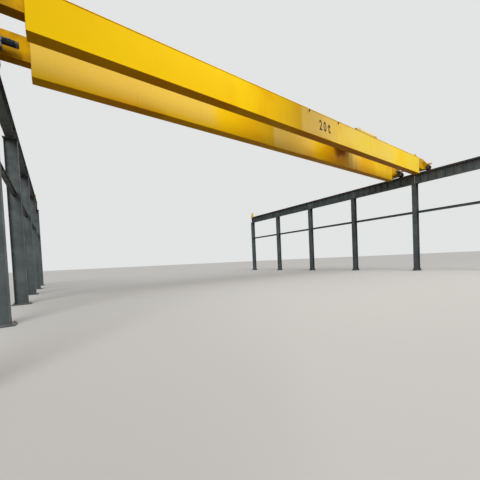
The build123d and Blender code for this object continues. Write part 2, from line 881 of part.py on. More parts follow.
def trolley_drive():
    """The gearbox and motor that turn one trolley wheel, inside the near side beam."""
    y = -girder_y + side_frame_width / 2
    half = trolley_gearbox_size / 2
    x = trolley_wheel_offset
    z = trolley_axis_height
    box = block(x - half, x + half, y, y + trolley_gearbox_size, z - half, z + half)
    box = fillet(box.edges().filter_by(Axis.Y), drive_fillet)
    motor = rod_y(trolley_motor_radius, y + trolley_gearbox_size,
                  y + trolley_gearbox_size + trolley_motor_length, x, z)
    return box + motor


# Every piece by its node name

def runway_nodes():
    """The pieces that stand on the ground."""
    columns = runway_columns()
    beams = runway_beams()
    struts = runway_struts()
    rail = runway_rail()
    stop = runway_stop()
    return {
        "columns_right": columns,
        "columns_left": [mirrored_x(shape) for shape in columns],
        "runway_beams_right": beams,
        "runway_beams_left": [mirrored_x(shape) for shape in beams],
        "runway_struts_right": struts,
        "runway_struts_left": [mirrored_x(shape) for shape in struts],
        "runway_rail_right": [rail],
        "runway_rail_left": [mirrored_x(rail)],
        "runway_stop_right_rear": [stop],
        "runway_stop_right_front": [mirrored_y(stop)],
        "runway_stop_left_rear": [mirrored_x(stop)],
        "runway_stop_left_front": [mirrored_x(mirrored_y(stop))],
    }


def bridge_nodes():
    """The pieces that travel along the runway."""
    nodes = {}
    for name, y in (("front", -girder_y), ("rear", girder_y)):
        nodes["girder_" + name + "_top_flange"] = [top_flange(y)]
        nodes["girder_" + name + "_bottom_flange"] = [bottom_flange(y)]
        nodes["girder_" + name + "_webs"] = webs(y)
        nodes["trolley_rail_" + name] = [trolley_rail(y)]
    right = {
        "girder_heads": [girder_head(-girder_y), girder_head(girder_y)],
        "trucks": [truck(-girder_y), truck(girder_y)],
        "travel_wheels": travel_wheels(-girder_y) + travel_wheels(girder_y),
        "bearing_boxes": bearing_boxes(-girder_y) + bearing_boxes(girder_y),
        "truck_tie": [tie_beam()],
        "travel_buffers": [travel_buffer(), mirrored_y(travel_buffer())],
        "buffer_arms": [buffer_arm(), mirrored_y(buffer_arm())],
        "travel_gearbox": [travel_gearbox()],
        "travel_motor": [travel_motor()],
        "trolley_stops": [trolley_stop(-girder_y), trolley_stop(girder_y)],
    }
    for name, shapes in right.items():
        nodes[name + "_right"] = shapes
        nodes[name + "_left"] = [mirrored_x(shape) for shape in shapes]
    place = Pos(0, bridge_y, 0)
    return {name: [place * shape for shape in shapes] for name, shapes in nodes.items()}


def trolley_nodes():
    """The pieces that travel along the bridge."""
    nodes = {
        "trolley_side_frames": [side_frame(-girder_y), side_frame(girder_y)],
        "trolley_cross_beams": cross_beams(),
        "trolley_decks": decks(),
        "trolley_wheels": trolley_wheels(-girder_y) + trolley_wheels(girder_y),
        "trolley_buffers": trolley_buffers(),
        "trolley_drive": [trolley_drive()],
        "hoist_drum": [drum()],
        "drum_pedestal": [pedestal()],
        "hoist_gearbox": [hoist_gearbox()],
        "hoist_motor": [hoist_motor()],
        "hoist_brake": [hoist_brake()],
        "equaliser_sheave": [equaliser_sheave()],
        "equaliser_bracket": [equaliser_bracket()],
        "hoist_rope": [hoist_rope()],
        "hook_block_sheaves": block_sheaves(),
        "hook_block": [hook_block()],
        "hook": [hook()],
    }
    place = Pos(trolley_x, bridge_y, 0)
    return {name: [place * shape for shape in shapes] for name, shapes in nodes.items()}


os.makedirs("parts", exist_ok=True)
for name, shapes in {**runway_nodes(), **bridge_nodes(), **trolley_nodes()}.items():
    solids = [solid for shape in shapes for solid in shape.solids()]
    export_step(Compound(children=solids), "parts/" + name + ".step")
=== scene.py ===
import math
from itertools import product

import bmesh
import bpy
from bpy.props import FloatProperty, FloatVectorProperty, IntProperty, PointerProperty, StringProperty
from mathutils import Matrix, Vector


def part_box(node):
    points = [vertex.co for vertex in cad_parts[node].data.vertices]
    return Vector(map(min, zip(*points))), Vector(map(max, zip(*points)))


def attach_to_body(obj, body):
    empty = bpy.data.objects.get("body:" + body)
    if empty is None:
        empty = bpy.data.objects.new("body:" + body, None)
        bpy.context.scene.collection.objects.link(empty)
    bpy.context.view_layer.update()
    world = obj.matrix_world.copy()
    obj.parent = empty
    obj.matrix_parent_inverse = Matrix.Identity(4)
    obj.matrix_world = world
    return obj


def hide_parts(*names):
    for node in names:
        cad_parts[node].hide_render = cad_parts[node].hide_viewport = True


bl_info = {
    "name": "Double girder overhead crane",
    "version": (1, 0, 0),
    "blender": (4, 5, 0),
    "location": "3D View > Sidebar > Crane",
    "description": "Finishes and small parts of a double girder travelling crane and its runway",
    "category": "Object",
}

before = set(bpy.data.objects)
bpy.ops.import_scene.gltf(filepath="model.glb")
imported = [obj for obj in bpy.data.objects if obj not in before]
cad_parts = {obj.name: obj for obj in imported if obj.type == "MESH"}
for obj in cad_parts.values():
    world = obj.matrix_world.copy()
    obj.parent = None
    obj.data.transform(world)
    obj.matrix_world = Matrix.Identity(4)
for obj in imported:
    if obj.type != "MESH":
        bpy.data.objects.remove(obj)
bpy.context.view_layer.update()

SIDES = ("left", "right")
UP = (0, 0, 1)
# Sides of the round pieces, the angle past which two faces meet in a sharp edge, and the distance
# within which two vertices are one
ROUND = 48
SMALL_ROUND = 20
SHARP = math.radians(32)
MERGE = 0.00005
SMOOTH = {"interpolation_type": "SMOOTHSTEP"}
# Families of nodes, in the order in which a kind is looked for
FAMILIES = ("GeometryNode", "FunctionNode", "ShaderNode", "Node")


def linear(hex_colour):
    """An sRGB hex colour as linear red, green and blue."""
    parts = [int(hex_colour[i:i + 2], 16) / 255 for i in (0, 2, 4)]
    return [p / 12.92 if p <= 0.04045 else ((p + 0.055) / 1.055) ** 2.4 for p in parts]


def a_colour(name, description, hex_colour):
    """A colour that the user can change."""
    return FloatVectorProperty(name=name, description=description, default=linear(hex_colour),
                               subtype="COLOR", min=0.0, max=1.0)


def a_number(name, description, default, **rest):
    """A number that the user can change."""
    return FloatProperty(name=name, description=description, default=default, **rest)


def a_length(name, description, default):
    """A length in metres that the user can change."""
    return a_number(name, description, default, min=0.0, subtype="DISTANCE", unit="LENGTH")


class CraneFinish(bpy.types.PropertyGroup):
    """Colours of the crane's finishes"""
    enamel: a_colour("Enamel", "Gloss yellow enamel of the girders and trucks", "E6B003")
    enamel_faded: a_colour("Faded enamel", "The same enamel where it has faded", "EFC60A")
    enamel_warm: a_colour("Warm enamel", "The same enamel where it has darkened", "CF9304")
    # Painted light: a lighter lemon tone where the lamps shine on the near girder's right-hand part
    painted_light_lemon: a_colour("Lemon enamel", "The same enamel bleached towards the girder's end", "F2D40C")
    enamel_dull: a_colour("Dull enamel", "The same enamel scorched beside a weld", "B08A0C")
    # Painted sheen: a pale bloom that stands in for the shine of the lamps on the girders
    painted_sheen: a_colour("Chalk", "Pale bloom on the sunned plates", "DCC47C")
    enamel_trolley: a_colour("Trolley enamel", "Paler enamel of the trolley frame", "F0DE9C")
    grime: a_colour("Grime", "Dust and oil that have run down the paint", "8A6418")
    # Painted shadow of the trolley on the far girder's near face
    painted_shadow: a_colour("Stain", "Burnt oil stain on the far girder", "803C04")
    runway: a_colour("Runway paint", "Matt blue-grey paint of the runway", "424B4C")
    dust: a_colour("Dust", "Dust that lies on upward faces", "8D8476")
    rust: a_colour("Rust", "Rust of the rails and of chipped edges", "5A3220")
    rust_dark: a_colour("Dark rust", "Old dark rust and mill scale", "2C1B15")
    steel: a_colour("Steel", "Bare steel where wheels and ropes run", "A9A49C")
    iron: a_colour("Black iron", "Black paint of the cast bearing boxes", "17171A")
    machine: a_colour("Machine paint", "Grey-blue paint of motors and gearboxes", "3A4A55")
    zinc: a_colour("Zinc", "Zinc-plated nuts, studs and washers", "9A9A94")
    foam: a_colour("Buffer foam", "Cream cellular buffers of the bridge", "EBCF94")
    rubber: a_colour("Rubber", "Black rubber buffers of the trolley", "15150F")
    mark: a_colour("Load mark", "Black stencilled load mark", "2B2410")


class CraneSmallParts(bpy.types.PropertyGroup):
    """Sizes of the small parts"""
    anchor_flats: a_length("Anchor nut", "Across the flats of the anchor nuts", 0.050)
    splice_flats: a_length("Splice nut", "Across the flats of the beam bolts", 0.036)
    cover_flats: a_length("Cover screw", "Across the flats of the bearing cover screws", 0.022)
    clip_pitch: a_length("Clip pitch", "Distance between rail clips", 0.600)
    stitch_pitch: a_length("Stitch pitch", "Distance between the trolley rail's welds", 0.300)
    bead_radius: a_length("Weld bead", "Size of the fillet weld along the girder", 0.011)
    rope_radius: a_length("Rope", "Radius of the hoist rope", 0.009)
    rope_lay: a_length("Rope lay", "Length of one full twist of the rope", 0.130)
    fin_count: IntProperty(name="Motor fins", description="Cooling fins round a motor",
                           default=36, min=12, max=72)
    load_mark: StringProperty(name="Load mark", description="Number painted on the near girder",
                              default="20t")
    mark_height: a_length("Mark height", "Height of the load mark's figures", 0.57)
    mark_width: a_length("Mark width", "Width of each of the load mark's figures", 0.25)
    mark_pitch: a_length("Mark pitch", "Distance between the load mark's figures", 0.385)


class CraneStage(bpy.types.PropertyGroup):
    """Camera, floor and light"""
    eye: FloatVectorProperty(name="Eye", description="Place of the camera", subtype="XYZ",
                             unit="LENGTH", default=(-12.80, -16.35, 1.6))
    yaw: a_number("Yaw", "Turn of the camera to the right of the runway", math.radians(34.98),
                  subtype="ANGLE")
    pitch: a_number("Pitch", "Tilt of the camera above the horizon", math.radians(-1.69),
                    subtype="ANGLE")
    roll: a_number("Roll", "Turn of the camera about its line of sight", math.radians(2.64),
                   subtype="ANGLE")
    focal: a_number("Focal length", "Focal length in picture widths", 261.7 / 480)
    shift: a_number("Shift", "Upward shift of the picture in picture widths", 28.9 / 480)
    floor: a_colour("Floor", "Plain pale floor", "CFCDC9")
    sky: a_colour("Backdrop", "Plain pale backdrop", "E3E4E4")
    ambient: a_number("Ambient", "Strength of the light from all round", 0.50, min=0.0)
    key: a_number("Key lamp", "Strength of the soft main lamp", 1.9, min=0.0)
    overhead: a_number("Soft boxes", "Radiance of the soft boxes overhead", 2.2, min=0.0)


def parts():
    """The sizes in use."""
    return bpy.context.scene.crane_parts


# Node trees

def add(tree, kind, *inputs, out=None, **named):
    """Adds a node of this kind. Its inputs are values or links, in order or by their capitalised names,
    and the other names are its settings. Gives its first output, or the one called out."""
    node = tree.nodes.new(next(family + kind for family in FAMILIES if hasattr(bpy.types, family + kind)))
    for name, value in named.items():
        if name[0].islower():
            setattr(node, name, value)
    fed = list(zip([socket for socket in node.inputs if socket.enabled], inputs))
    fed += [(node.inputs[name], value) for name, value in named.items() if name[0].isupper()]
    for socket, value in fed:
        if isinstance(value, bpy.types.NodeSocket):
            tree.links.new(value, socket)
        elif value is not None:
            socket.default_value = (*value, 1.0) if socket.type == "RGBA" else value
    return next((s for s in node.outputs if s.enabled and out in (None, s.name)), None)


def bare_tree(owner):
    """The emptied node tree of a material or world."""
    owner.use_nodes = True
    owner.node_tree.nodes.clear()
    return owner.node_tree


def clouds(tree, size, span=(), detail=3, stretch=None, rough=0.55):
    """A cloudy pattern with clouds this many millimetres wide. A span gives the two levels that it
    changes between, and what it changes from and to."""
    place = add(tree, "TexCoord", out="Object")
    if stretch:
        place = add(tree, "Mapping", place, Scale=stretch)
    share = add(tree, "TexNoise", place, 1000 / size, detail, rough)
    return add(tree, "MapRange", share, *span, **SMOOTH) if span else share


def zone(tree, axis, *span, centre=None):
    """A share that changes over a span along an axis or, for "up", of how far the surface faces up:
    1 on a floor, 0 on a wall, -1 on a ceiling. With a centre, the span is the distance from it."""
    kind, field, part = ("NewGeometry", "Normal", "Z") if axis == "up" else ("TexCoord", "Object", axis)
    way = add(tree, "SeparateXYZ", add(tree, kind, out=field), out=part)
    if centre is not None:
        way = add(tree, "Math", add(tree, "Math", way, centre, operation="SUBTRACT"), operation="ABSOLUTE")
    return add(tree, "MapRange", way, *span, **SMOOTH)


def layers(tree, ground, *films):
    """Lays films over a ground. Each is a colour, and the shares whose product is its thickness."""
    for film, amount, *shares in films:
        for share in shares:
            amount = add(tree, "Math", amount, share, operation="MULTIPLY")
        ground = add(tree, "Mix", amount, ground, film, data_type="RGBA")
    return ground


# Materials: each gives its colour, its roughness, its bumps (a height pattern and its depth in
# millimetres, laid over each other) and the other inputs of its shader. Patterns have their real
# size; orange peel, cast grain and open cells, which are finer, are drawn 3 to 9 mm wide to show

# Level of the enamel's shine
SHEEN = 0.10


def gloss_enamel(tree, colours, marks=None):
    """Alkyd gloss enamel sprayed on mill plate: a broad soft shine over slightly wavy plate, faded in
    patches, with dust on top, a dull film below, runs of grime down the sides and rust in a few chips."""
    colour = layers(tree, colours.enamel,
                    (colours.enamel_faded, clouds(tree, 3600, (0.34, 0.54), 2)),
                    (colours.enamel_warm, clouds(tree, 3100, (0.50, 0.72, 0.0, 0.45), 2, (1, 1, 1.6))))
    colour, sheen = marks(tree, colours, colour) if marks else (colour, SHEEN)
    dusty = clouds(tree, 500, (0.3, 0.7, 0.45, 0.85))
    dusty = add(tree, "Math", zone(tree, "up", 0.5, 0.95), dusty, operation="MULTIPLY")
    rough = clouds(tree, 700, (0.3, 0.7, 0.34, 0.48), 4)
    sheen = add(tree, "Math", zone(tree, "up", -0.9, -0.6, 0.4, 1.0), sheen, operation="MULTIPLY")
    return (layers(tree, colour,
                   (colours.grime, clouds(tree, 1000, (0.60, 0.80, 0.0, 0.36), 4, (12, 12, 0.6)),
                    zone(tree, "up", 0.2, 0.6, 1, 0, centre=0), clouds(tree, 1900, (0.46, 0.62), 1)),
                   (colours.rust, clouds(tree, 140, (0.735, 0.755, 0.0, 0.8), 6)), (colours.dust, dusty)),
            add(tree, "Math", dusty, 0.5, rough, operation="MULTIPLY_ADD"),
            [(clouds(tree, 1500, (), 1, (1, 1, 0.6)), 7.0), (clouds(tree, 9, (), 2), 0.12)],
            {"Specular IOR Level": sheen, "Specular Tint": colours.enamel_faded})


def matt_paint(tree, colours):
    """Matt alkyd paint on rolled steel: dull, dusty on top, with rust coming through in patches."""
    lighter = [min(1.0, c * 1.55 + 0.006) for c in colours.runway]
    return (layers(tree, colours.runway, (lighter, clouds(tree, 900, (0.35, 0.68), 5)),
                   (colours.rust, clouds(tree, 1000, (0.56, 0.76, 0.0, 0.5), 4, (11, 11, 0.8))),
                   (colours.rust, clouds(tree, 120, (0.69, 0.73, 0.0, 0.75), 6)),
                   (colours.dust, zone(tree, "up", 0.5, 0.95), 0.8)),
            clouds(tree, 300, (0.3, 0.7, 0.5, 0.72)),
            [(clouds(tree, 26), 0.5), (clouds(tree, 1100, (), 1), 2.0)])


def rusty_steel(tree, colours, polish):
    """Hot-rolled steel: brown rust with scale on its sides, and a bright strip where wheels run."""
    bright = clouds(tree, 1000, (0.3, 0.6, 0.55 * polish, polish), 3, (30, 1, 30))
    bright = add(tree, "Math", zone(tree, "up", 0.9, 0.99), bright, operation="MULTIPLY")
    return (layers(tree, colours.rust_dark, (colours.rust, clouds(tree, 180, (0.36, 0.64), 6)),
                   (colours.steel, bright)), add(tree, "MapRange", bright, 0, 1, 0.85, 0.30, **SMOOTH),
            [(clouds(tree, 14, (), 5), 0.8)], {"Metallic": bright})


def forged_steel(tree, colours):
    """Forged and turned steel of wheels and sheaves: dark scale and grease, with a thin film of rust."""
    patch = clouds(tree, 90, (0.36, 0.66), 8, rough=0.7)
    film = clouds(tree, 420, (0.35, 0.65, 0.25, 0.75), 2)
    return (layers(tree, colours.rust_dark, (colours.rust, patch, film)),
            add(tree, "MapRange", patch, 0, 1, 0.38, 0.62, **SMOOTH),
            [(clouds(tree, 9), 0.3)], {"Metallic": 0.45})


def black_cast_iron(tree, colours):
    """Sand-cast iron under black paint: a grainy skin with oily patches."""
    worn = clouds(tree, 90, (0.55, 0.72, 0.0, 0.6), 5)
    return (layers(tree, colours.iron, (colours.rust_dark, worn)),
            clouds(tree, 130, (0.3, 0.7, 0.34, 0.58)), [(clouds(tree, 5, (), 2), 0.5)])


def machine_enamel(tree, colours):
    """Brushed machine enamel on cast housings: half gloss, oily, with grime in clouds."""
    grime = clouds(tree, 170, (0.42, 0.74, 0.0, 0.75), 5)
    dusty = zone(tree, "up", 0.6, 0.95)
    return (layers(tree, colours.machine, (colours.rust_dark, grime), (colours.dust, dusty, 0.5)),
            add(tree, "MapRange", grime, 0, 0.75, 0.33, 0.6, **SMOOTH), [(clouds(tree, 7), 0.35)])


def zinc_plated_steel(tree, colours):
    """Zinc-plated and passivated steel of nuts and screws: dull silver with white bloom and some rust."""
    rusty = clouds(tree, 45, (0.5, 0.66, 0.0, 0.85), 5)
    return (layers(tree, colours.zinc, (colours.rust, rusty)),
            add(tree, "MapRange", rusty, 0, 0.85, 0.4, 0.8, **SMOOTH), [(clouds(tree, 4, (), 2), 0.15)],
            {"Metallic": add(tree, "MapRange", rusty, 0, 0.85, 0.85, 0.15, **SMOOTH)})


def cellular_polyurethane(tree, colours):
    """Cellular polyurethane: a matt cream skin with small open cells."""
    cells = add(tree, "TexVoronoi", add(tree, "TexCoord", out="Object"), 1000 / 6)
    soiled = clouds(tree, 70, (0.45, 0.75, 0.0, 0.5), 4)
    return layers(tree, colours.foam, (colours.grime, soiled)), 0.82, [(cells, 0.8)]


def moulded_rubber(tree, colours):
    """Moulded natural rubber: black, with a faint grey bloom."""
    bloom = clouds(tree, 40, (0.4, 0.8, 0.0, 0.25), 4)
    return layers(tree, colours.rubber, (colours.dust, bloom)), 0.7, [(clouds(tree, 6, (), 2), 0.2)]


def tear_plate(tree, colours):
    """Rolled tear plate under yellow enamel: raised tears at right angles, worn and dusty between."""
    turned = add(tree, "Mapping", add(tree, "TexCoord", out="Object"), Rotation=(0, 0, math.radians(45)))
    cells = add(tree, "TexVoronoi", turned, 1000 / 32, Randomness=0.0, distance="CHEBYCHEV")
    tears = add(tree, "MapRange", cells, 0.22, 0.32, 1, 0, **SMOOTH)
    worn = clouds(tree, 300, (0.4, 0.7, 0.1, 0.85), 5)
    return (layers(tree, colours.enamel, (colours.dust, worn), (colours.enamel_faded, tears, 0.35)),
            add(tree, "MapRange", worn, 0.1, 0.85, 0.4, 0.8, **SMOOTH), [(tears, 1.6)])


def wire_rope(tree, colours):
    """Drawn and stranded carbon steel wire: grey, with dark grease between the strands."""
    greasy = clouds(tree, 160, (0.25, 0.6, 0.35, 0.9), 6)
    return (layers(tree, colours.steel, (colours.rust_dark, greasy)),
            add(tree, "MapRange", greasy, 0, 1, 0.35, 0.6, **SMOOTH),
            [(clouds(tree, 3, (), 2), 0.3)], {"Metallic": 0.7})


def stencil_paint(tree, colours):
    """Black alkyd paint rubbed through a stencil: thin in places, so some yellow shows through."""
    thin = clouds(tree, 55, (0.54, 0.80, 0.0, 0.6), 5)
    return (layers(tree, colours.mark, (colours.grime, thin)), 0.6, [(clouds(tree, 12, (), 2), 0.15)],
            {"Specular IOR Level": 0.2})


# Marks on the enamel: each gives the colour and the level of the shine

# Distance along the girder of the weld between its middle plates, and how sharp its edge is
WELD_X = -1.62
WELD_EDGE = 0.10


def plate_marks(tree, colours, sheen_end, dull, far_sheen):
    """The middle plates: darkened next to their weld, and with a pale bloom on the right of it that is
    painted sheen.
    """
    return ((colours.enamel_warm, zone(tree, "X", 0, 2.2, 0.4, 0, centre=WELD_X - 2.0)),
            (colours.enamel_dull, zone(tree, "X", 0, 3.4, dull, 0, centre=WELD_X + 0.6)),
            # Painted sheen: a pale bloom on the plates right of the weld, weaker past its end
            (colours.painted_sheen, zone(tree, "X", WELD_X - WELD_EDGE, WELD_X + WELD_EDGE),
             clouds(tree, 1700, (0.3, 0.7, 0.62, 1.0)),
             zone(tree, "X", sheen_end - 1.2, sheen_end, 0.40, 0.40 * far_sheen)))


def flange_shade_marks(tree, colours, colour):
    """The near girder's bottom flange, darker and warmer on its underside towards the right-hand end as
    painted shade.
    """
    # Painted shade on the underside, stronger towards the right-hand end
    below, along = zone(tree, "up", -0.9, -0.6, 1, 0), zone(tree, "X", -5.0, 4.0, 0, 0.75)
    return layers(tree, colour, (colours.enamel_warm, below, along)), SHEEN


def front_marks(tree, colours, colour):
    """The near girder's plates: paler at the left-hand end, lighter and more lemon towards the right as
    painted light, with painted sheen almost to their right-hand end, and paler again near it.
    """
    return layers(tree, colour, (colours.enamel_faded, zone(tree, "X", -6.6, -5.4, 0.8, 0)),
                  # Painted light: lighter and more lemon towards the right, where the lamps shine on the
                  # face
                  (colours.painted_light_lemon, zone(tree, "X", 0, 4.5, 0, 0.6)),
                  *plate_marks(tree, colours, 9.2, 0.85, 0.35),
                  (colours.enamel_faded, zone(tree, "X", 0, 1.4, 0.9, 0, centre=9.9))), SHEEN


def rear_marks(tree, colours, colour):
    """The far girder's plates: lighter at the left-hand end as painted light, with a painted shadow of the
    trolley, darker orange to the left of it as painted shade, and streaks of painted reflection beside it.
    """
    low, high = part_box("girder_rear_webs")
    near_face = zone(tree, "Y", low.y + 0.1, low.y + 0.2, 1, 0)
    # Painted light: lighter and paler at the left-hand end, except near the lower edge
    pale = zone(tree, "X", -6.2, -5.2, 1, 0), zone(tree, "Z", low.z - 0.1, low.z + 0.5)
    # The painted shadow's squash along each axis, how far its edge drifts in metres, and its centre
    squash, drift = Vector((0.85, 0.0, 1.35)), 0.8
    centre = (Vector((5.25, 0.0, low.z + 1.12)) + Vector((drift, 0.0, drift)) / 2) * squash
    place = add(tree, "TexCoord", out="Object")
    ragged = add(tree, "TexNoise", place, 1000 / 520, 3, out="Color")
    place = add(tree, "VectorMath", place, squash, operation="MULTIPLY")
    place = add(tree, "VectorMath", ragged, squash * drift, place, operation="MULTIPLY_ADD")
    away = add(tree, "VectorMath", place, centre, operation="DISTANCE")
    # Painted shadow of the trolley, fading out from its ragged middle, on the near face only
    patch = add(tree, "MapRange", away, 0.30, 1, 1, 0, **SMOOTH)
    patch = add(tree, "Math", patch, near_face, operation="MULTIPLY")
    # Painted reflection: the span of the streaks right of the shadow
    reach = near_face, zone(tree, "X", 5.7, 5.9), zone(tree, "X", 6.8, 8.6, 1, 0)
    colour = layers(tree, colour, *plate_marks(tree, colours, 2.6, 0.9, 0),
                    (colours.enamel_faded, *pale, 0.65), (colours.painted_sheen, *pale, 0.40),
                    # Painted shade: darker orange to the left of the trolley's shadow
                    (colours.enamel_warm, zone(tree, "X", 0, 2.3, 0.9, 0, centre=4.2), near_face),
                    # Painted shadow of the trolley
                    (colours.painted_shadow, patch, 0.92),
                    # Painted reflection: pale and dark streaks beside the shadow
                    (colours.painted_sheen, *reach, clouds(tree, 1000, (0.40, 0.66, 0.15, 0.75), 2, (4, 1, 0.25))),
                    (colours.grime, *reach, clouds(tree, 1000, (0.53, 0.66, 0.0, 0.6), 3, (11, 1, 0.3))))
    return colour, add(tree, "MapRange", patch, 0.1, 0.9, SHEEN, 0.03, **SMOOTH)


def darkened_marks(tree, colours, colour):
    """Enamel next to the wheels: browner all over, and darker in clouds."""
    return layers(tree, colour, (colours.enamel_warm, 0.55),
                  (colours.grime, clouds(tree, 420, (0.36, 0.66, 0.08, 0.55), 4))), SHEEN


def pale_marks(tree, colours, colour):
    """The trolley's frame, sprayed later in a paler enamel, and darker along its lower edge."""
    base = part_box("trolley_side_frames")[0].z
    return layers(tree, colour, (colours.enamel_trolley, 0.85),
                  (colours.grime, zone(tree, "Z", base + 0.05, base + 0.11, 0.55, 0))), SHEEN


FINISHES = {maker.__name__: (maker,) for maker in (
    gloss_enamel, forged_steel, black_cast_iron, machine_enamel, zinc_plated_steel, cellular_polyurethane,
    moulded_rubber, tear_plate, wire_rope, stencil_paint)}
FINISHES.update({
    "gloss_enamel_front": (gloss_enamel, front_marks),
    "gloss_enamel_rear": (gloss_enamel, rear_marks),
    # The near girder's bottom flange, with painted shade on its underside
    "gloss_enamel_flange": (gloss_enamel, flange_shade_marks),
    "gloss_enamel_soiled": (gloss_enamel, darkened_marks),
    "gloss_enamel_pale": (gloss_enamel, pale_marks),
    "matt_runway_paint": (matt_paint,),
    "rusty_crane_rail": (rusty_steel, 0.9),
    "rusty_flat_bar": (rusty_steel, 0.75),
    "rusty_plate": (rusty_steel, 0.0),
})
MATERIALS = {}


def material(name):
    """The material of this name, made once."""
    if name not in MATERIALS:
        maker, *rest = FINISHES[name]
        MATERIALS[name] = bpy.data.materials.new(name)
        tree = bare_tree(MATERIALS[name])
        colour, rough, bumps, *more = maker(tree, bpy.context.scene.crane_finish, *rest)
        normal = None
        for height, depth in bumps:
            normal = add(tree, "Bump", Height=height, Distance=depth / 1000, Normal=normal)
        add(tree, "OutputMaterial", add(tree, "BsdfPrincipled", colour, Roughness=rough, Normal=normal,
                                        **dict(*more)))
    return MATERIALS[name]


# Meshes

def as_data(mesh):
    """Turns a mesh under construction into mesh data."""
    data = bpy.data.meshes.new("data")
    mesh.to_mesh(data)
    mesh.free()
    return data


def show(name, data):
    """A new object in the scene; its data takes the same name."""
    data.name = name
    thing = bpy.data.objects.new(name, data)
    bpy.context.scene.collection.objects.link(thing)
    return thing


def plain_mesh(thing):
    """What an object looks like with its modifiers, as mesh data."""
    return bpy.data.meshes.new_from_object(thing.evaluated_get(bpy.context.evaluated_depsgraph_get()))


def turns(count, start=0.0):
    """The angles of equal steps round a circle."""
    return [2 * math.pi * (index + start) / count for index in range(count)]


def shaped(part, bevel, place):
    """Turns the faces of a part outwards, rounds its edges and moves it into place."""
    bmesh.ops.recalc_face_normals(part, faces=part.faces)
    if bevel:
        bmesh.ops.bevel(part, geom=part.edges, offset=bevel, segments=2, affect="EDGES", profile=0.5)
    part.transform(place)
    return part


def box(low, high, bevel, place=Matrix()):
    """A block between two corners."""
    low, high = Vector(low), Vector(high)
    part = bmesh.new()
    stretch = Matrix.Translation((low + high) / 2) @ Matrix.Diagonal((*(high - low), 1.0))
    bmesh.ops.create_cube(part, size=1.0, matrix=stretch)
    return shaped(part, bevel, place)


def ringed(rings, bevel=0.0, place=Matrix()):
    """A closed part between rings of points. A ring of equal points is a pole."""
    part = bmesh.new()
    rings = [[part.verts.new(point) for point in ring] if ring[0] != ring[1] else
             [part.verts.new(ring[0])] * len(ring) for ring in rings]
    faces = [face for one, two in zip(rings, rings[1:])
             for face in zip(one, one[1:] + one[:1], two[1:] + two[:1], two)]
    for face in (*faces, rings[0], rings[-1]):
        corners = list(dict.fromkeys(face))
        if len(corners) > 2:
            part.faces.new(corners)
    return shaped(part, bevel, place)


def prism(outline, low, high, bevel, axis="Y"):
    """A plate whose outline runs round the X or Y axis, from low to high along it."""
    return ringed([[(t, a, b) if axis == "X" else (a, t, b) for a, b in outline]
                   for t in (low, high)], bevel)


def lathe(profile, place, sides=ROUND):
    """A part turned about its own X axis. The profile is x and radius, from end to end."""
    return ringed([[(x, r * math.cos(t), r * math.sin(t)) for t in turns(sides)]
                   for x, r in profile], place=place)


def bar(points, radii, sides):
    """A round bar along a line of points, with its own radius at each."""
    rings = []
    side = (points[1] - points[0]).orthogonal()
    for before, point, after, radius in zip(points[:1] + points, points, points[1:] + points[-1:], radii):
        along = (after - before).normalized()
        side = (side - along * side.dot(along)).normalized()
        other = along.cross(side)
        rings.append([point + (side * math.cos(t) + other * math.sin(t)) * radius for t in turns(sides)])
    return ringed(rings)


def solid(*pieces):
    """One mesh of several closed parts."""
    mesh = bmesh.new()
    for part in pieces:
        carrier = as_data(part)
        mesh.from_mesh(carrier)
        bpy.data.meshes.remove(carrier)
    return as_data(mesh)


def facing_y(centre, way):
    """The place of a turned piece whose axis points along Y, to the rear or with way -1 to the front."""
    return Matrix.Translation(centre) @ Matrix.Rotation(way * math.pi / 2, 4, "Z")


def spread(low, high, count):
    """The middles of equal parts of a length."""
    return [low + (index + 0.5) * (high - low) / count for index in range(count)]


def shade(data):
    """Outward faces, smooth, with sharp edges where they turn by more than the sharp angle."""
    mesh = bmesh.new()
    mesh.from_mesh(data)
    bmesh.ops.recalc_face_normals(mesh, faces=mesh.faces)
    for face in mesh.faces:
        face.smooth = True
    for edge in mesh.edges:
        edge.smooth = edge.calc_face_angle(0.0) < SHARP
    mesh.to_mesh(data)
    mesh.free()


def attach(piece, body, replaced):
    """Fixes a finished piece to its body and hides the CAD nodes it stands for."""
    shade(piece.data)
    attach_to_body(piece, body)
    if replaced:
        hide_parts(*replaced)


def make_piece(name, data, body, finish, slot, *replaced):
    """Turns mesh data into a finished piece."""
    data.materials.append(material(finish))
    attach(show(name, data), body, replaced)


def dress(finish, *nodes):
    """Gives CAD nodes their finish."""
    for node in nodes:
        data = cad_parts[node].data
        data.materials.clear()
        data.materials.append(material(finish))


def solids(node):
    """Lowest and highest corner of each solid in a CAD node, in order along X, Y and Z."""
    mesh = bmesh.new()
    mesh.from_mesh(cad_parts[node].data)
    bmesh.ops.remove_doubles(mesh, verts=mesh.verts, dist=MERGE)
    waiting = set(mesh.verts)
    boxes = []
    while waiting:
        queue = [waiting.pop()]
        for vertex in queue:
            near = {edge.other_vert(vertex) for edge in vertex.link_edges} & waiting
            waiting -= near
            queue += near
        boxes.append([Vector([pick(v.co[i] for v in queue) for i in range(3)]) for pick in (min, max)])
    mesh.free()
    return sorted(boxes, key=lambda pair: [round(value, 3) for value in pair[0]])


# Geometry trees

def new_tree(name, **inputs):
    """An empty geometry tree with its named inputs, and the outputs of its input node."""
    tree = bpy.data.node_groups.new(name, "GeometryNodeTree")
    for label, kind in {"Geometry": "Geometry", **inputs, "Material": "Material"}.items():
        tree.interface.new_socket(label, in_out="INPUT", socket_type="NodeSocket" + kind)
    tree.interface.new_socket("Geometry", in_out="OUTPUT", socket_type="NodeSocketGeometry")
    return tree, add(tree, "GroupInput").node.outputs


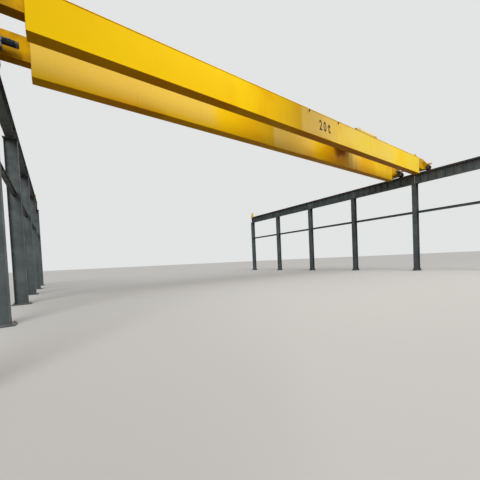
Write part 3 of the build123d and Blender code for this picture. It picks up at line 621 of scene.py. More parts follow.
def close_tree(tree, given, geometry):
    """Ends a tree: instances made real, then the material."""
    real = add(tree, "RealizeInstances", geometry)
    add(tree, "GroupOutput", add(tree, "SetMaterial", real, Material=given["Material"]))
    return tree


def turned_points(tree, axis):
    """The turn of each point that brings an axis to its facing."""
    facing = add(tree, "InputNamedAttribute", "facing", data_type="FLOAT_VECTOR")
    return add(tree, "AlignRotationToVector", Vector=facing, axis=axis)


def tube(tree, line, radius, sides, scale=None):
    """A closed tube along a line."""
    ring = add(tree, "CurvePrimitiveCircle", sides, radius, mode="RADIUS")
    return add(tree, "CurveToMesh", line, ring, scale, True)


def nut_tree():
    """A washer, a hexagon nut and the end of its stud on every point, turned about its axis by chance."""
    tree, given = new_tree("nuts", **{"Across Flats": "Float", "Stud Rise": "Float", "Seed": "Int"})
    flats = given["Across Flats"]
    stud = add(tree, "Math", add(tree, "Math", given["Stud Rise"], flats, operation="DIVIDE"), 0.62)
    join = add(tree, "JoinGeometry")
    # Sides, radius, base and height of each, in shares of the width across the flats
    shapes = (20, 0.98, 0, 0.10), (6, 1 / math.sqrt(3), 0.10, 0.52), (12, 0.33, 0, stud)
    for sides, radius, base, height in shapes:
        part = add(tree, "MeshCylinder", Vertices=sides, Radius=radius, Depth=1.0)
        part = add(tree, "Transform", part, (0, 0, 0.5))
        part = add(tree, "Transform", part, (0, 0, base), Scale=add(tree, "CombineXYZ", 1.0, 1.0, height))
        tree.links.new(part, join.node.inputs[0])
    spin = add(tree, "RandomValue", 0.0, 2 * math.pi, None, given["Seed"])
    turn = add(tree, "RotateRotation", turned_points(tree, "Z"), add(tree, "AxisAngleToRotation", UP, spin),
               rotation_space="LOCAL")
    return close_tree(tree, given, add(tree, "InstanceOnPoints", given["Geometry"], Instance=join,
                                       Rotation=turn, Scale=flats))


def copy_tree():
    """A copy of one shape on every point, turned to the point's facing."""
    tree, given = new_tree("copies", Shape="Object")
    shape = add(tree, "ObjectInfo", given["Shape"], out="Geometry")
    return close_tree(tree, given, add(tree, "InstanceOnPoints", given["Geometry"],
                                       Instance=shape, Rotation=turned_points(tree, "X")))


def bead_tree():
    """A rippled weld bead along every edge of a mesh."""
    tree, given = new_tree("beads", Radius="Float", Step="Float", Ripple="Float", Seed="Int")
    line = add(tree, "MeshToCurve", given["Geometry"])
    line = add(tree, "ResampleCurve", line, Length=given["Step"], mode="LENGTH")
    size = add(tree, "RandomValue", given["Ripple"], 1.0, None, given["Seed"])
    size = add(tree, "Math", size, given["Radius"], operation="MULTIPLY")
    return close_tree(tree, given, tube(tree, line, 1.0, 6, size))


def winding_tree():
    """Rope wound side by side on a drum about the Y axis."""
    tree, given = new_tree("winding", Turns="Float", Radius="Float", Length="Float", Rope="Float",
                           Centre="Vector")
    line = add(tree, "CurveSpiral", 64, given["Turns"], given["Radius"], given["Radius"], given["Length"])
    coil = tube(tree, line, given["Rope"], 10)
    return close_tree(tree, given, add(tree, "Transform", coil, given["Centre"], (-math.pi / 2, 0, 0)))


def fin_tree():
    """Straight cooling fins round an axis along X."""
    tree, given = new_tree("fins", Count="Int", Inner="Float", Outer="Float", Length="Float",
                           Thickness="Float")
    high = add(tree, "Math", given["Outer"], given["Inner"], operation="SUBTRACT")
    middle = add(tree, "Math", high, 0.5, given["Inner"], operation="MULTIPLY_ADD")
    fin = add(tree, "MeshCube", add(tree, "CombineXYZ", given["Length"], given["Thickness"], high))
    fin = add(tree, "Transform", fin, add(tree, "CombineXYZ", 0.0, 0.0, middle))
    turn = add(tree, "Math", add(tree, "InputIndex"), given["Count"], operation="DIVIDE")
    turn = add(tree, "Math", turn, 2 * math.pi, operation="MULTIPLY")
    turn = add(tree, "AxisAngleToRotation", (1, 0, 0), turn)
    return close_tree(tree, given, add(tree, "InstanceOnPoints", add(tree, "Points", given["Count"]),
                                       Instance=fin, Rotation=turn))


def lobed_rope_tree():
    """A stranded rope along a line: six lobes that twist as they go."""
    tree, given = new_tree("rope", Rope="Float", Lay="Float", Step="Float")
    line = add(tree, "MeshToCurve", given["Geometry"])
    line = add(tree, "ResampleCurve", line, Length=given["Step"], mode="LENGTH")
    along = add(tree, "SplineParameter", out="Length")
    turn = add(tree, "Math", along, given["Lay"], operation="DIVIDE")
    turn = add(tree, "Math", turn, 2 * math.pi, operation="MULTIPLY")
    line = add(tree, "SetCurveTilt", line, Tilt=turn)
    lobe = add(tree, "Math", add(tree, "SplineParameter"), 6 * math.pi, operation="MULTIPLY")
    lobe = add(tree, "Math", lobe, operation="SINE")
    lobe = add(tree, "Math", lobe, operation="ABSOLUTE")
    reach = add(tree, "MapRange", lobe, 0.0, 1.0, 0.74, 1.0)
    ring = add(tree, "CurvePrimitiveCircle", 24, given["Rope"], mode="RADIUS")
    spot = add(tree, "VectorMath", add(tree, "InputPosition"), reach, operation="SCALE")
    ring = add(tree, "SetPosition", ring, Position=spot)
    return close_tree(tree, given, add(tree, "CurveToMesh", line, ring, None, True))


TREES = {}


def grow(name, maker, points, values, body, finish, slot, *replaced, edges=(), place=Matrix()):
    """Runs a geometry tree on points or edges and keeps the result as a plain mesh. Each point has its
    place and its facing."""
    if maker not in TREES:
        TREES[maker] = maker()
    base = bpy.data.meshes.new(name)
    base.from_pydata([spot for spot, facing in points], edges, [])
    facings = base.attributes.new("facing", "FLOAT_VECTOR", "POINT")
    facings.data.foreach_set("vector", [value for spot, facing in points for value in facing])
    piece = show(name, base)
    modifier = piece.modifiers.new("grow", "NODES")
    modifier.node_group = TREES[maker]
    values = {**values, "Material": material(finish)}
    for item in modifier.node_group.interface.items_tree:
        if item.in_out == "INPUT" and item.name in values:
            modifier[item.identifier] = values[item.name]
    data = plain_mesh(piece)
    if not data.vertices:
        raise RuntimeError(name + " came out empty")
    piece.modifiers.remove(modifier)
    piece.data = data
    data.transform(place)
    attach(piece, body, replaced)


def nuts(name, body, slot, points, flats, seed, rise=0.0):
    """Zinc-plated nuts or screws with their washers; the stud stands out by its rise."""
    grow(name, nut_tree, points, {"Across Flats": flats, "Stud Rise": rise, "Seed": seed}, body,
         "zinc_plated_steel", slot)


def beads(name, finish, slot, lines, radius, step, ripple, seed):
    """Weld beads on the bridge, along straight lines given by their ends."""
    points = [(end, UP) for line in lines for end in line]
    grow(name, bead_tree, points, {"Radius": radius, "Step": step, "Ripple": ripple, "Seed": seed},
         "bridge", finish, slot, edges=[(i, i + 1) for i in range(0, len(points), 2)])


# Runway

class CRANE_OT_runway(bpy.types.Operator):
    """Paint the columns, beams, struts, rails and stops"""
    bl_idname = "crane.runway"
    bl_label = "Runway"

    def execute(self, context):
        for side in SIDES:
            dress("matt_runway_paint", "columns_" + side, "runway_beams_" + side, "runway_struts_" + side)
            dress("rusty_crane_rail", "runway_rail_" + side)
            dress("gloss_enamel", "runway_stop_" + side + "_front", "runway_stop_" + side + "_rear")
        return {"FINISHED"}


class CRANE_OT_runway_fasteners(bpy.types.Operator):
    """Add the anchor nuts, the beam bolts, the rail clips and their nuts"""
    bl_idname = "crane.runway_fasteners"
    bl_label = "Runway fasteners"

    base_thickness = 0.040
    anchor_x, anchor_y = 0.310, 0.210
    cap_thickness = 0.030
    bolt_x, bolt_y = 0.130, 0.200
    flange_thickness = 0.018
    clip_outline = ((0.052, 0.018), (0.052, 0.031), (0.074, 0.036), (0.118, 0.036), (0.118, 0.0),
                    (0.067, 0.0), (0.067, 0.018))
    clip_half_width = 0.035
    clip_nut = (0.094, 0.036)

    def plate_nuts(self, side):
        """Anchor nuts on the base plates, and bolts through each cap plate and the beam ends over it."""
        anchors, bolts = [], []
        for low, high in solids("columns_" + side):
            x, y, _ = (low + high) / 2
            anchors += [((x + a, y + b, low.z + self.base_thickness), UP) for a, b in
                        product((-self.anchor_x, self.anchor_x), (-self.anchor_y, self.anchor_y))]
            for a, b in product((-self.bolt_x, self.bolt_x), (-self.bolt_y, self.bolt_y)):
                bolts.append(((x + a, y + b, high.z + self.flange_thickness), UP))
                bolts.append(((x + a, y + b, high.z - self.cap_thickness), (0, 0, -1)))
        nuts("anchor_nuts_" + side, "runway", "runway_paint", anchors, parts().anchor_flats, seed=3,
             rise=0.03)
        nuts("beam_bolts_" + side, "runway", "runway_paint", bolts, parts().splice_flats, seed=5,
             rise=0.008)

    def clips(self, side):
        """Clips that hold the rail's foot down on both sides, with a nut on each."""
        low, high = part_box("runway_rail_" + side)
        middle, pitch = (low + high) / 2, parts().clip_pitch
        count = int((high.y - low.y) / pitch) - 1
        start = middle.y - (count - 1) / 2 * pitch
        spots = list(product([start + index * pitch for index in range(count)], (-1, 1)))
        clip = solid(prism(self.clip_outline, -self.clip_half_width, self.clip_half_width, bevel=0.002))
        pattern = bpy.data.objects.new("clip_shape", clip)
        grow("rail_clips_" + side, copy_tree, [((middle.x, y, low.z), (way, 0, 0)) for y, way in spots],
             {"Shape": pattern}, "runway", "rusty_plate", "rail_steel")
        bpy.data.objects.remove(pattern)
        x, z = self.clip_nut
        nuts("rail_clip_nuts_" + side, "runway", "rail_steel",
             [((middle.x + way * x, y, low.z + z), UP) for y, way in spots], parts().cover_flats * 1.2,
             seed=7, rise=0.006)

    def execute(self, context):
        for side in SIDES:
            self.plate_nuts(side)
            self.clips(side)
        return {"FINISHED"}


# Bridge

class CRANE_OT_girders(bpy.types.Operator):
    """Paint the girders and their heads, and add their welds, lugs and load mark"""
    bl_idname = "crane.girders"
    bl_label = "Girders"

    mark_x, mark_base = -0.16, 0.41
    mark_thickness = 0.0008
    mark_weight = 0.022
    stitch_half, stitch_radius = 0.04, 0.007
    lug_places = (-1.02, 1.61)
    lug_half, lug_drop = 0.010, 0.035
    lug_outline = ((0.0, 0.0), (-0.051, 0.0), (-0.085, -0.039), (-0.085, -0.078), (-0.0425, -0.130),
                   (0.0, -0.130))

    def welds(self, name):
        """Fillet welds along the outer corners of the webs and flanges, and short ones at the rail."""
        low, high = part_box("girder_" + name + "_webs")
        lines = [((low.x, y, z), (high.x, y, z)) for y, z in product((low.y, high.y), (low.z, high.z))]
        beads("girder_" + name + "_welds", "gloss_enamel", "crane_paint", lines, parts().bead_radius,
              step=0.08, ripple=0.8, seed=11)
        low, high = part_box("trolley_rail_" + name)
        pitch, half = parts().stitch_pitch, self.stitch_half
        middles = [low.x + (index + 0.5) * pitch for index in range(int((high.x - low.x) / pitch))]
        lines = [((x - half, y, low.z), (x + half, y, low.z)) for x, y in product(middles, (low.y, high.y))]
        beads("rail_stitches_" + name, "rusty_plate", "trolley_rail_steel", lines, self.stitch_radius,
              step=0.02, ripple=0.6, seed=13)

    def load_mark(self):
        """The number on the near face, each figure stretched to its full width and height."""
        low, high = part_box("girder_front_webs")
        mesh = bmesh.new()
        for index, letter in enumerate(parts().load_mark):
            curve = bpy.data.curves.new("figure", "FONT")
            curve.body, curve.extrude, curve.offset = letter, self.mark_thickness / 2, self.mark_weight
            text = show("figure", curve)
            data = plain_mesh(text)
            bpy.data.objects.remove(text)
            left, right, foot, head = [pick(v.co[i] for v in data.vertices)
                                       for i in (0, 1) for pick in (min, max)]
            corner = (self.mark_x + index * parts().mark_pitch, low.y - self.mark_thickness / 2,
                      low.z + self.mark_base)
            stretch = (parts().mark_width / (right - left), parts().mark_height / (head - foot), 1, 1)
            data.transform(Matrix.Translation(corner) @ Matrix.Rotation(math.pi / 2, 4, "X")
                           @ Matrix.Diagonal(stretch) @ Matrix.Translation((-left, -foot, 0)))
            mesh.from_mesh(data)
            bpy.data.meshes.remove(data)
        bmesh.ops.remove_doubles(mesh, verts=mesh.verts, dist=MERGE)
        make_piece("load_mark", as_data(mesh), "bridge", "stencil_paint", "crane_paint")

    def lugs(self):
        """The two small lifting lugs under the near girder's top flange."""
        low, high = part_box("girder_front_webs")
        outline = [(low.y + a, high.z - self.lug_drop + b) for a, b in self.lug_outline]
        plates = [prism(outline, x - self.lug_half, x + self.lug_half, bevel=0.003, axis="X")
                  for x in self.lug_places]
        make_piece("girder_lugs", solid(*plates), "bridge", "rusty_plate", "crane_paint")

    def execute(self, context):
        for name, flange in (("front", "_flange"), ("rear", "")):
            dress("gloss_enamel", "girder_" + name + "_top_flange")
            dress("gloss_enamel" + flange, "girder_" + name + "_bottom_flange")
            dress("gloss_enamel_" + name, "girder_" + name + "_webs")
            dress("rusty_flat_bar", "trolley_rail_" + name)
            self.welds(name)
        for side in SIDES:
            dress("gloss_enamel_soiled", "girder_heads_" + side)
            dress("gloss_enamel_pale", "trolley_stops_" + side)
        self.load_mark()
        self.lugs()
        return {"FINISHED"}


def screw_ring(centre, facing, radius, count, start=0.0):
    """Screws in a ring on a cover that faces along X or Y."""
    across = Vector((abs(facing[1]), abs(facing[0]), 0)) * radius
    return [(centre + across * math.cos(t) + Vector((0, 0, radius * math.sin(t))), facing)
            for t in turns(count, start)]


class CRANE_OT_trucks(bpy.types.Operator):
    """Paint the end trucks, ties, wheels, bearing boxes and buffers, and add their screws"""
    bl_idname = "crane.trucks"
    bl_label = "End trucks"

    cover_screws = 6
    screw_radius = 0.078
    corner_inset = 0.030

    def bearing_screws(self, side):
        """Screws round each bearing cover and at the corners of each box, on the outward faces."""
        truck_low, truck_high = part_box("trucks_" + side)
        axles = [(low + high) / 2 for low, high in solids("travel_wheels_" + side)]
        inset = self.corner_inset
        screws, bolts = [], []
        for low, high in solids("bearing_boxes_" + side):
            way = 1 if low.x + high.x > truck_low.x + truck_high.x else -1
            cover, face = (high.x, truck_high.x) if way > 0 else (low.x, truck_low.x)
            axle = min(axles, key=lambda spot: abs(spot.y - (low.y + high.y) / 2))
            centre = Vector((cover, axle.y, axle.z))
            screws += screw_ring(centre, (way, 0, 0), self.screw_radius, self.cover_screws)
            bolts += [((face, y, z), (way, 0, 0)) for y, z in
                      product((low.y + inset, high.y - inset), (low.z + inset, high.z - inset))]
        nuts("cover_screws_" + side, "bridge", "bearing_iron", screws, parts().cover_flats, seed=17)
        nuts("box_bolts_" + side, "bridge", "bearing_iron", bolts, parts().splice_flats * 0.8, seed=19,
             rise=0.006)

    def execute(self, context):
        for side in SIDES:
            dress("gloss_enamel_soiled", "trucks_" + side, "truck_tie_" + side, "buffer_arms_" + side)
            dress("forged_steel", "travel_wheels_" + side)
            dress("black_cast_iron", "bearing_boxes_" + side)
            dress("cellular_polyurethane", "travel_buffers_" + side)
            self.bearing_screws(side)
        return {"FINISHED"}


def motor(name, start, way, length, radius, body, *replaced):
    """A finned motor from a flange at start, reaching along way, with its fan cover and terminal box."""
    along = Vector(way)
    side = along.cross(Vector(UP))
    place = Matrix.Translation(start) @ Matrix((along, side, side.cross(along))).transposed().to_4x4()
    flange, rear, box_start = 0.024, length * 0.8, length * 0.3
    core, cover, half = radius * 0.86, radius * 0.97, radius * 0.55
    make_piece(name, solid(
        lathe([(0, 0), (0, radius), (flange - 0.006, radius), (flange, core), (rear, core), (rear, cover),
               (length - 0.03, cover), (length - 0.008, core), (length, radius * 0.7),
               (length, radius * 0.3), (length - 0.01, radius * 0.24), (length - 0.01, 0)], place),
        box((box_start, -half, core * 0.8), (box_start + half * 2, half, core + half / 2), bevel=0.008,
            place=place)
    ), body, "machine_enamel", "machine_paint", *replaced)
    grow(name + "_fins", fin_tree, [((0, 0, 0), UP)],
         {"Count": parts().fin_count, "Inner": core * 0.98, "Outer": radius * 0.99,
          "Length": rear - 0.03, "Thickness": 0.004}, body, "machine_enamel", "machine_paint",
         place=place @ Matrix.Translation(((rear + flange) / 2, 0, 0)))


class CRANE_OT_bridge_drives(bpy.types.Operator):
    """Build the motors of the bridge drives and paint their gearboxes"""
    bl_idname = "crane.bridge_drives"
    bl_label = "Bridge drives"

    lip = 0.024
    lip_inset = 0.012
    bolt_shares = (0.2, 0.5, 0.8)

    def joint(self, side):
        """The bolted joint round the middle of a gearbox casing."""
        low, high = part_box("travel_gearbox_" + side)
        split, inset, lip, half = (low.z + high.z) / 2, self.lip_inset, self.lip, self.lip / 2
        plate = box((low.x + inset, low.y - lip, split - half),
                    (high.x - inset, high.y + lip, split + half), bevel=0.003)
        make_piece("travel_gearbox_joint_" + side, solid(plate), "bridge", "machine_enamel",
                   "machine_paint")
        bolts = [((low.x + share * (high.x - low.x), y, split + half), UP)
                 for share, y in product(self.bolt_shares, (low.y - half, high.y + half))]
        nuts("travel_gearbox_bolts_" + side, "bridge", "machine_paint", bolts,
             parts().cover_flats * 0.75, seed=31, rise=0.004)

    def execute(self, context):
        for side, way in zip(SIDES, (1, -1)):
            dress("machine_enamel", "travel_gearbox_" + side)
            self.joint(side)
            low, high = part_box("travel_motor_" + side)
            start = (low + high) / 2
            start.x = low.x if way > 0 else high.x
            motor("travel_motor_housing_" + side, start, (way, 0, 0), high.x - low.x, (high.z - low.z) / 2,
                  "bridge", "travel_motor_" + side)
        return {"FINISHED"}


# Trolley

class CRANE_OT_trolley(bpy.types.Operator):
    """Paint the trolley's frame, decks, wheels and buffers, and build its drive"""
    bl_idname = "crane.trolley"
    bl_label = "Trolley"

    gearbox_share = 190 / 490
    motor_share = 0.84
    rib_half, rib_inset, rib_rise, rib_sunk = 0.006, 0.010, 0.008, 0.002
    bracket_half, bracket_plate = 0.105, 0.012
    bracket_below, bracket_above = 0.058, 0.115
    bearing_profile = ((0, 0), (0, 0.052), (0.014, 0.052), (0.020, 0.046), (0.020, 0))
    screw_half = 0.080

    def axle_brackets(self):
        """A bolted plate and a bearing cap over each axle end, on the outer faces of the side beams."""
        beam_low, beam_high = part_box("trolley_side_frames")
        top = beam_low.z + self.bracket_above
        plates, screws = [], []
        for low, high in solids("trolley_wheels"):
            x, y, z = (low + high) / 2
            way = 1 if y > (beam_low.y + beam_high.y) / 2 else -1
            face = beam_high.y if way > 0 else beam_low.y
            front = face + way * self.bracket_plate
            plates += [box((x - self.bracket_half, min(face, front), z - self.bracket_below),
                           (x + self.bracket_half, max(face, front), top), bevel=0.003),
                       lathe(self.bearing_profile, facing_y((x, front, z), way), SMALL_ROUND)]
            screws += [((x + a, front, height), (0, way, 0)) for a, height in
                       product((-self.screw_half, self.screw_half), (z, top - self.bracket_plate * 2))]
        make_piece("axle_brackets", solid(*plates), "trolley", "gloss_enamel_pale", "crane_paint")
        nuts("axle_screws", "trolley", "crane_paint", screws, parts().cover_flats, seed=37)

    def drive(self):
        """The travel gearbox with a rib on top, and its motor."""
        low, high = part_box("trolley_drive")
        x, y, z = (low + high) / 2
        y = low.y + (high.y - low.y) * self.gearbox_share
        rib = box((x - self.rib_half, low.y + self.rib_inset, high.z - self.rib_sunk),
                  (x + self.rib_half, y - self.rib_inset, high.z + self.rib_rise), bevel=0.002)
        casing = box(low, (high.x, y, high.z), bevel=0.022)
        make_piece("trolley_drive_gearbox", solid(casing, rib), "trolley", "machine_enamel",
                   "machine_paint")
        motor("trolley_drive_motor", (x, y, z), (0, 1, 0), high.y - y,
              (high.z - low.z) / 2 * self.motor_share, "trolley", "trolley_drive")

    def execute(self, context):
        dress("gloss_enamel_pale", "trolley_side_frames")
        dress("gloss_enamel", "trolley_cross_beams")
        dress("tear_plate", "trolley_decks")
        dress("forged_steel", "trolley_wheels")
        dress("moulded_rubber", "trolley_buffers")
        self.axle_brackets()
        self.drive()
        return {"FINISHED"}


class CRANE_OT_hoist(bpy.types.Operator):
    """Build the rope drum, its windings, the hoist gearbox, motor and brake"""
    bl_idname = "crane.hoist"
    bl_label = "Hoist"

    core_radius, flange_radius, shaft_radius = 0.200, 0.240, 0.050
    flange_thickness, shaft_overhang = 0.020, 0.025
    groove_depth = 0.003
    wrap_inner, wrap_outer = 0.175, 0.540
    rope_pitch = 0.0203
    lip, lip_half, lip_inset = 0.012, 0.018, 0.004
    rib_half, rib_foot, rib_head = 0.008, 0.030, 0.040
    sunk, bolt_out = 0.004, 0.002
    boss_places = (0.22, 0.62)
    boss_profile = ((0, 0), (0, 0.085), (0.018, 0.080), (0.018, 0.03), (0.012, 0))
    cover_start, cover_end, cover_inset, cover_rise = 0.34, 0.70, 0.025, 0.010
    cover_edge = 0.020
    breather_place = 0.86
    breather_profile = ((0, 0), (0, 0.022), (0.014, 0.022), (0.024, 0.014), (0.024, 0))
    foot_places, foot_length, foot_plate = (0.10, -0.16), 0.06, 0.02
    cap_rise = 0.030
    cap_profile = ((0, 0), (0, 0.097), (0.022, 0.097), (0.030, 0.090), (0.030, 0.058), (0.022, 0.052),
                   (0.022, 0))
    cap_screws, cap_screw_radius = 8, 0.074
    pad = Vector((0.110, 0.075, 0.018))

    def drum(self):
        """The grooved drum and the rope wound on both its ends."""
        low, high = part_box("hoist_drum")
        centre = (low + high) / 2
        rope, core = parts().rope_radius, self.core_radius
        tip = (high.y - low.y) / 2
        half = tip - self.shaft_overhang
        inner = half - self.flange_thickness
        end = [(-tip, 0), (-tip, self.shaft_radius), (-half, self.shaft_radius),
               (-half, self.flange_radius), (-inner, self.flange_radius), (-inner, core)]
        step = self.rope_pitch / 2
        grooves = [(index * step - inner, core - self.groove_depth * (index % 2))
                   for index in range(1, int(inner * 2 / step))]
        shell = lathe(end + grooves + [(-x, r) for x, r in reversed(end)], facing_y(centre, 1))
        make_piece("drum_shell", solid(shell), "trolley", "forged_steel", "drum_steel", "hoist_drum")
        length = self.wrap_outer - self.wrap_inner
        for name, start in (("near", -self.wrap_outer), ("far", self.wrap_inner)):
            grow("rope_turns_" + name, winding_tree, [((0, 0, 0), UP)],
                 {"Turns": length / self.rope_pitch, "Radius": core + rope, "Length": length, "Rope": rope,
                  "Centre": (centre.x, centre.y + start, centre.z)}, "trolley", "wire_rope", "rope_wire")

    def gearbox(self):
        """The hoist gearbox: a casting split along its middle, with ribs and a row of bolts."""
        low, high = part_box("hoist_gearbox")
        middle = (low + high) / 2
        lip, top = self.lip, middle.z + self.lip_half
        cover_low = Vector((low.x + self.cover_start, low.y + self.cover_inset, high.z - self.sunk))
        cover_high = Vector((low.x + self.cover_end, high.y - self.cover_inset, high.z + self.cover_rise))
        upright = Matrix.Translation((low.x + self.breather_place, middle.y, high.z - self.sunk))
        make_piece("hoist_gearbox_casing", solid(
            box(low, high, bevel=0.025),
            box((low.x + self.lip_inset, low.y - lip, middle.z - self.lip_half),
                (high.x - self.lip_inset, high.y + lip, top), bevel=0.004),
            *[box((x - self.rib_half, high.y - self.sunk, low.z + self.rib_foot),
                  (x + self.rib_half, high.y + lip, high.z - self.rib_head), bevel=0.003)
              for x in spread(low.x, high.x, 5)],
            *[lathe(self.boss_profile, facing_y((low.x + x, high.y, middle.z), 1))
              for x in self.boss_places],
            box(cover_low, cover_high, bevel=0.003),
            lathe(self.breather_profile, upright @ Matrix.Rotation(-math.pi / 2, 4, "Y"), SMALL_ROUND)
        ), "trolley", "machine_enamel", "machine_paint", "hoist_gearbox")
        first, last = cover_low.x + self.cover_edge, cover_high.x - self.cover_edge
        bolts = [((x, y, cover_high.z), UP) for y, x in
                 product((cover_low.y + self.cover_edge, cover_high.y - self.cover_edge),
                         (first, (first + last) / 2, last))]
        bolts += [((x, high.y + self.bolt_out, top), UP) for x in spread(low.x, high.x, 9)]
        nuts("gearbox_bolts", "trolley", "machine_paint", bolts, parts().cover_flats * 0.8, seed=23,
             rise=0.004)

    def hoist_motor(self):
        """The hoist motor on its two feet."""
        low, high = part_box("hoist_motor")
        x, radius = (low.x + high.x) / 2, (high.x - low.x) / 2
        z = high.z - radius
        motor("hoist_motor_housing", (x, high.y, z), (0, -1, 0), high.y - low.y, radius, "trolley",
              "hoist_motor")
        foot, plate, top = radius * 0.65, low.z + self.foot_plate, z - radius * 0.7
        outline = [(x - foot, low.z), (x + foot, low.z), (x + foot, plate), (x + foot / 2, top),
                   (x - foot / 2, top), (x - foot, plate)]
        feet = [prism(outline, y, y + self.foot_length, bevel=0.003) for y in
                (low.y + self.foot_places[0], high.y + self.foot_places[1])]
        make_piece("hoist_motor_feet", solid(*feet), "trolley", "machine_enamel", "machine_paint")

    def pedestal(self):
        """The bearing cap on the drum's pedestal, and the pads and bolts under its two feet."""
        low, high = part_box("drum_pedestal")
        drum_low, drum_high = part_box("hoist_drum")
        centre = (drum_low + drum_high) / 2
        centre.y = low.y
        make_piece("drum_bearing_cap", solid(lathe(self.cap_profile, facing_y(centre, -1))), "trolley",
                   "black_cast_iron", "bearing_iron")
        centre.y -= self.cap_rise
        nuts("drum_cap_screws", "trolley", "bearing_iron",
             screw_ring(centre, (0, -1, 0), self.cap_screw_radius, self.cap_screws, start=0.5),
             parts().cover_flats * 0.8, seed=41)
        long, wide, thick = self.pad
        places, top = (low.x + long / 2, high.x - long / 2), low.z + thick
        pads = [box((x - long / 2, low.y - wide, low.z), (x + long / 2, high.y + wide, top), bevel=0.003)
                for x in places]
        make_piece("pedestal_pads", solid(*pads), "trolley", "gloss_enamel", "crane_paint")
        bolts = [((x, y, top), UP) for x, y in product(places, (low.y - wide / 2, high.y + wide / 2))]
        nuts("pedestal_bolts", "trolley", "crane_paint", bolts, parts().splice_flats * 0.8, seed=43,
             rise=0.010)

    def execute(self, context):
        self.drum()
        self.pedestal()
        self.gearbox()
        self.hoist_motor()
        dress("black_cast_iron", "hoist_brake")
        dress("gloss_enamel", "drum_pedestal")
        return {"FINISHED"}


class CRANE_OT_tackle(bpy.types.Operator):
    """Build the ropes and the hook, and paint the sheaves and the hook block"""
    bl_idname = "crane.tackle"
    bl_label = "Ropes and hook"

    arc_steps = 28
    bowl_radius = 0.085
    bowl_steps = 26
    bowl_turn = math.radians(270)
    shank_drops = ((0.0, 0.82), (0.03, 0.82), (0.06, 0.86))
    tip_rises = ((0.004, 0.018, 0.5), (0.006, 0.026, 0.22))
    crosshead_height = 0.055
    axle_nut = 0.075

    def rope(self):
        """The rope from the drum round the block's sheaves and over the equaliser."""
        low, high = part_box("hoist_rope")
        radius = parts().rope_radius
        x0, x1, y0, y1 = low.x + radius, high.x - radius, low.y + radius, high.y - radius
        middle, reach, half = (x0 + x1) / 2, (x1 - x0) / 2, (y1 - y0) / 2
        bottom = low.z + radius + reach
        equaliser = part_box("equaliser_sheave")
        turn = (equaliser[0].z + equaliser[1].z) / 2
        angles = [math.pi * index / self.arc_steps for index in range(self.arc_steps + 1)]
        near, far = [[(x1, y, high.z), *[(middle + reach * math.cos(t), y, bottom - reach * math.sin(t))
                                         for t in angles], (x0, y, turn)] for y in (y0, y1)]
        over = [(x0, (y0 + y1) / 2 - half * math.cos(t), turn + half * math.sin(t)) for t in angles[1:-1]]
        line = near + over + far[::-1]
        grow("rope_falls", lobed_rope_tree, [(point, UP) for point in line],
             {"Rope": radius, "Lay": parts().rope_lay, "Step": 0.012}, "trolley", "wire_rope", "rope_wire",
             "hoist_rope", edges=[(i, i + 1) for i in range(len(line) - 1)])

    def hook(self):
        """The forged hook: a round shank, a bowl that thickens at its back, and a blunt tip."""
        low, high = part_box("hook")
        block_low, block_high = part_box("hook_block")
        wire = (high.x - low.x) / 2
        top = Vector(((low.x + high.x) / 2, (block_low.y + block_high.y) / 2, high.z))
        bowl = Vector((top.x, top.y, low.z + wire + self.bowl_radius))
        line = [(top - Vector((0, 0, drop)), size) for drop, size in self.shank_drops]
        for index in range(self.bowl_steps + 1):
            share = index / self.bowl_steps
            angle = math.pi / 2 + self.bowl_turn * share
            back = 0.80 + 0.20 * math.sin(math.pi * min(1.0, share * 1.25))
            line.append((bowl + Vector((0, math.cos(angle), math.sin(angle))) * self.bowl_radius,
                         back * (1.0 - 0.35 * share ** 3)))
        tip = line[-1][0]
        line += [(tip + Vector((0, out, rise)), size) for out, rise, size in self.tip_rises]
        hook = bar([point for point, size in line], [wire * size for point, size in line], 28)
        make_piece("forged_hook", solid(hook), "trolley", "black_cast_iron", "bearing_iron", "hook")

    def block_nuts(self):
        """Nuts on the ends of the block's axle and crosshead."""
        low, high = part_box("hook_block")
        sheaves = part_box("hook_block_sheaves")
        heights = (sheaves[0].z + sheaves[1].z) / 2, low.z + self.crosshead_height
        points = [(((low.x + high.x) / 2, y, z), (0, way, 0)) for (y, way), z in
                  product(((low.y, -1), (high.y, 1)), heights)]
        nuts("block_nuts", "trolley", "crane_paint", points, self.axle_nut, seed=29, rise=0.006)

    def execute(self, context):
        self.rope()
        self.hook()
        self.block_nuts()
        dress("gloss_enamel", "hook_block", "equaliser_bracket")
        dress("forged_steel", "hook_block_sheaves", "equaliser_sheave")
        return {"FINISHED"}


# Stage

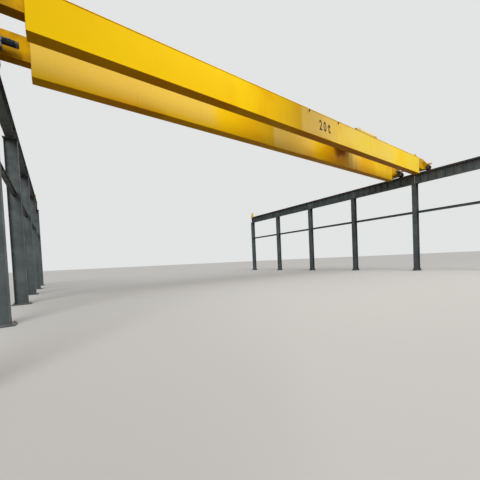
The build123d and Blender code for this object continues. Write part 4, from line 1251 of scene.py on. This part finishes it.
class CRANE_OT_stage(bpy.types.Operator):
    """Set up the floor, the backdrop, the lamps and the camera"""
    bl_idname = "crane.stage"
    bl_label = "Stage"

    floor_reach = 600.0
    sensor = 36.0
    bounce = (0.20, 0.135, 0.10)
    key_towards, key_softness = (0.30, 0.78, -0.55), math.radians(40)
    # Soft boxes: place, length, width, and share of their radiance
    boxes = (((-6.2, -11.0, 14.0), 9.4, 4.4, 1.2), ((8.8, -12.8, 14.0), 7.4, 7.0, 1.0),
             ((20.2, -15.0, 15.0), 5.6, 5.0, 0.55))

    def seen_or_lit(self, tree, seen, lit, output):
        """Ends a tree with one shader for rays that the eye, a mirror or glass sends out, and another
        for the light itself."""
        rays = None
        for ray in ("Is Camera Ray", "Is Glossy Ray", "Is Transmission Ray"):
            path = add(tree, "LightPath", out=ray)
            rays = add(tree, "Math", path, rays or 0.0, operation="MAXIMUM")
        add(tree, output, add(tree, "MixShader", rays, lit, seen))

    def floor(self, stage):
        """A plain pale floor that throws little light back up."""
        mesh = bmesh.new()
        bmesh.ops.create_grid(mesh, x_segments=1, y_segments=1, size=self.floor_reach)
        plane = show("floor", as_data(mesh))
        plane.data.materials.append(bpy.data.materials.new("floor_paint"))
        tree = bare_tree(plane.data.materials[0])
        self.seen_or_lit(tree, add(tree, "BsdfDiffuse", stage.floor), add(tree, "BsdfDiffuse", self.bounce),
                         "OutputMaterial")

    def backdrop(self, stage):
        """A plain pale backdrop all round, and the even light that comes from it."""
        world = bpy.context.scene.world = bpy.data.worlds.new("studio")
        tree = bare_tree(world)
        self.seen_or_lit(tree, add(tree, "Background", stage.sky, 1.0),
                         add(tree, "Background", (1, 1, 1), stage.ambient), "OutputWorld")

    def lamps(self, stage):
        """A soft lamp far away, and soft boxes overhead that face down."""
        data = bpy.data.lights.new("key_lamp", "SUN")
        data.energy, data.angle = stage.key, self.key_softness
        lamp = show("key_lamp", data)
        lamp.rotation_mode = "QUATERNION"
        lamp.rotation_quaternion = Vector(self.key_towards).to_track_quat("-Z", "Y")
        for index, (place, long, wide, share) in enumerate(self.boxes):
            data = bpy.data.lights.new("soft_box_" + str(index + 1), "AREA")
            data.shape, data.size, data.size_y = "RECTANGLE", long, wide
            data.energy = stage.overhead * share * math.pi * long * wide
            lamp = show(data.name, data)
            lamp.location = place
            lamp.visible_camera = False

    def camera(self, stage):
        """The photograph's camera, held at head height beside the left-hand columns."""
        data = bpy.data.cameras.new("eye")
        data.sensor_width, data.lens = self.sensor, self.sensor * stage.focal
        data.shift_y, data.clip_end = stage.shift, self.floor_reach * 2
        camera = bpy.context.scene.camera = show("eye", data)
        turn = Matrix.Rotation(-stage.yaw, 4, "Z") @ Matrix.Rotation(math.pi / 2 + stage.pitch, 4, "X")
        camera.matrix_world = Matrix.Translation(stage.eye) @ turn @ Matrix.Rotation(-stage.roll, 4, "Z")

    def execute(self, context):
        context.scene.view_settings.view_transform = "Standard"
        for step in (self.floor, self.backdrop, self.lamps, self.camera):
            step(context.scene.crane_stage)
        return {"FINISHED"}


OPERATORS = (CRANE_OT_stage, CRANE_OT_runway, CRANE_OT_runway_fasteners, CRANE_OT_girders, CRANE_OT_trucks,
             CRANE_OT_bridge_drives, CRANE_OT_trolley, CRANE_OT_hoist, CRANE_OT_tackle)
GROUPS = (("crane_finish", CraneFinish), ("crane_parts", CraneSmallParts), ("crane_stage", CraneStage))


class CRANE_PT_panel(bpy.types.Panel):
    """Sizes, colours and building steps of the crane"""
    bl_idname = "CRANE_PT_panel"
    bl_label = "Crane"
    bl_space_type = "VIEW_3D"
    bl_region_type = "UI"
    bl_category = "Crane"

    def draw(self, context):
        for name, group in GROUPS:
            column = self.layout.column(align=True)
            for field in group.__annotations__:
                column.prop(getattr(context.scene, name), field)
        for operator in OPERATORS:
            self.layout.operator(operator.bl_idname)


def register():
    """Makes the classes and the settings known."""
    for name, group in GROUPS:
        bpy.utils.register_class(group)
        setattr(bpy.types.Scene, name, PointerProperty(type=group))
    for shown in (*OPERATORS, CRANE_PT_panel):
        bpy.utils.register_class(shown)


def unregister():
    """Takes them away again."""
    for shown in (CRANE_PT_panel, *reversed(OPERATORS)):
        bpy.utils.unregister_class(shown)
    for name, group in reversed(GROUPS):
        delattr(bpy.types.Scene, name)
        bpy.utils.unregister_class(group)


def main():
    """Builds everything in order."""
    register()
    for operator in OPERATORS:
        family, step = operator.bl_idname.split(".")
        getattr(getattr(bpy.ops, family), step)()


if __name__ == "__main__":
    main()
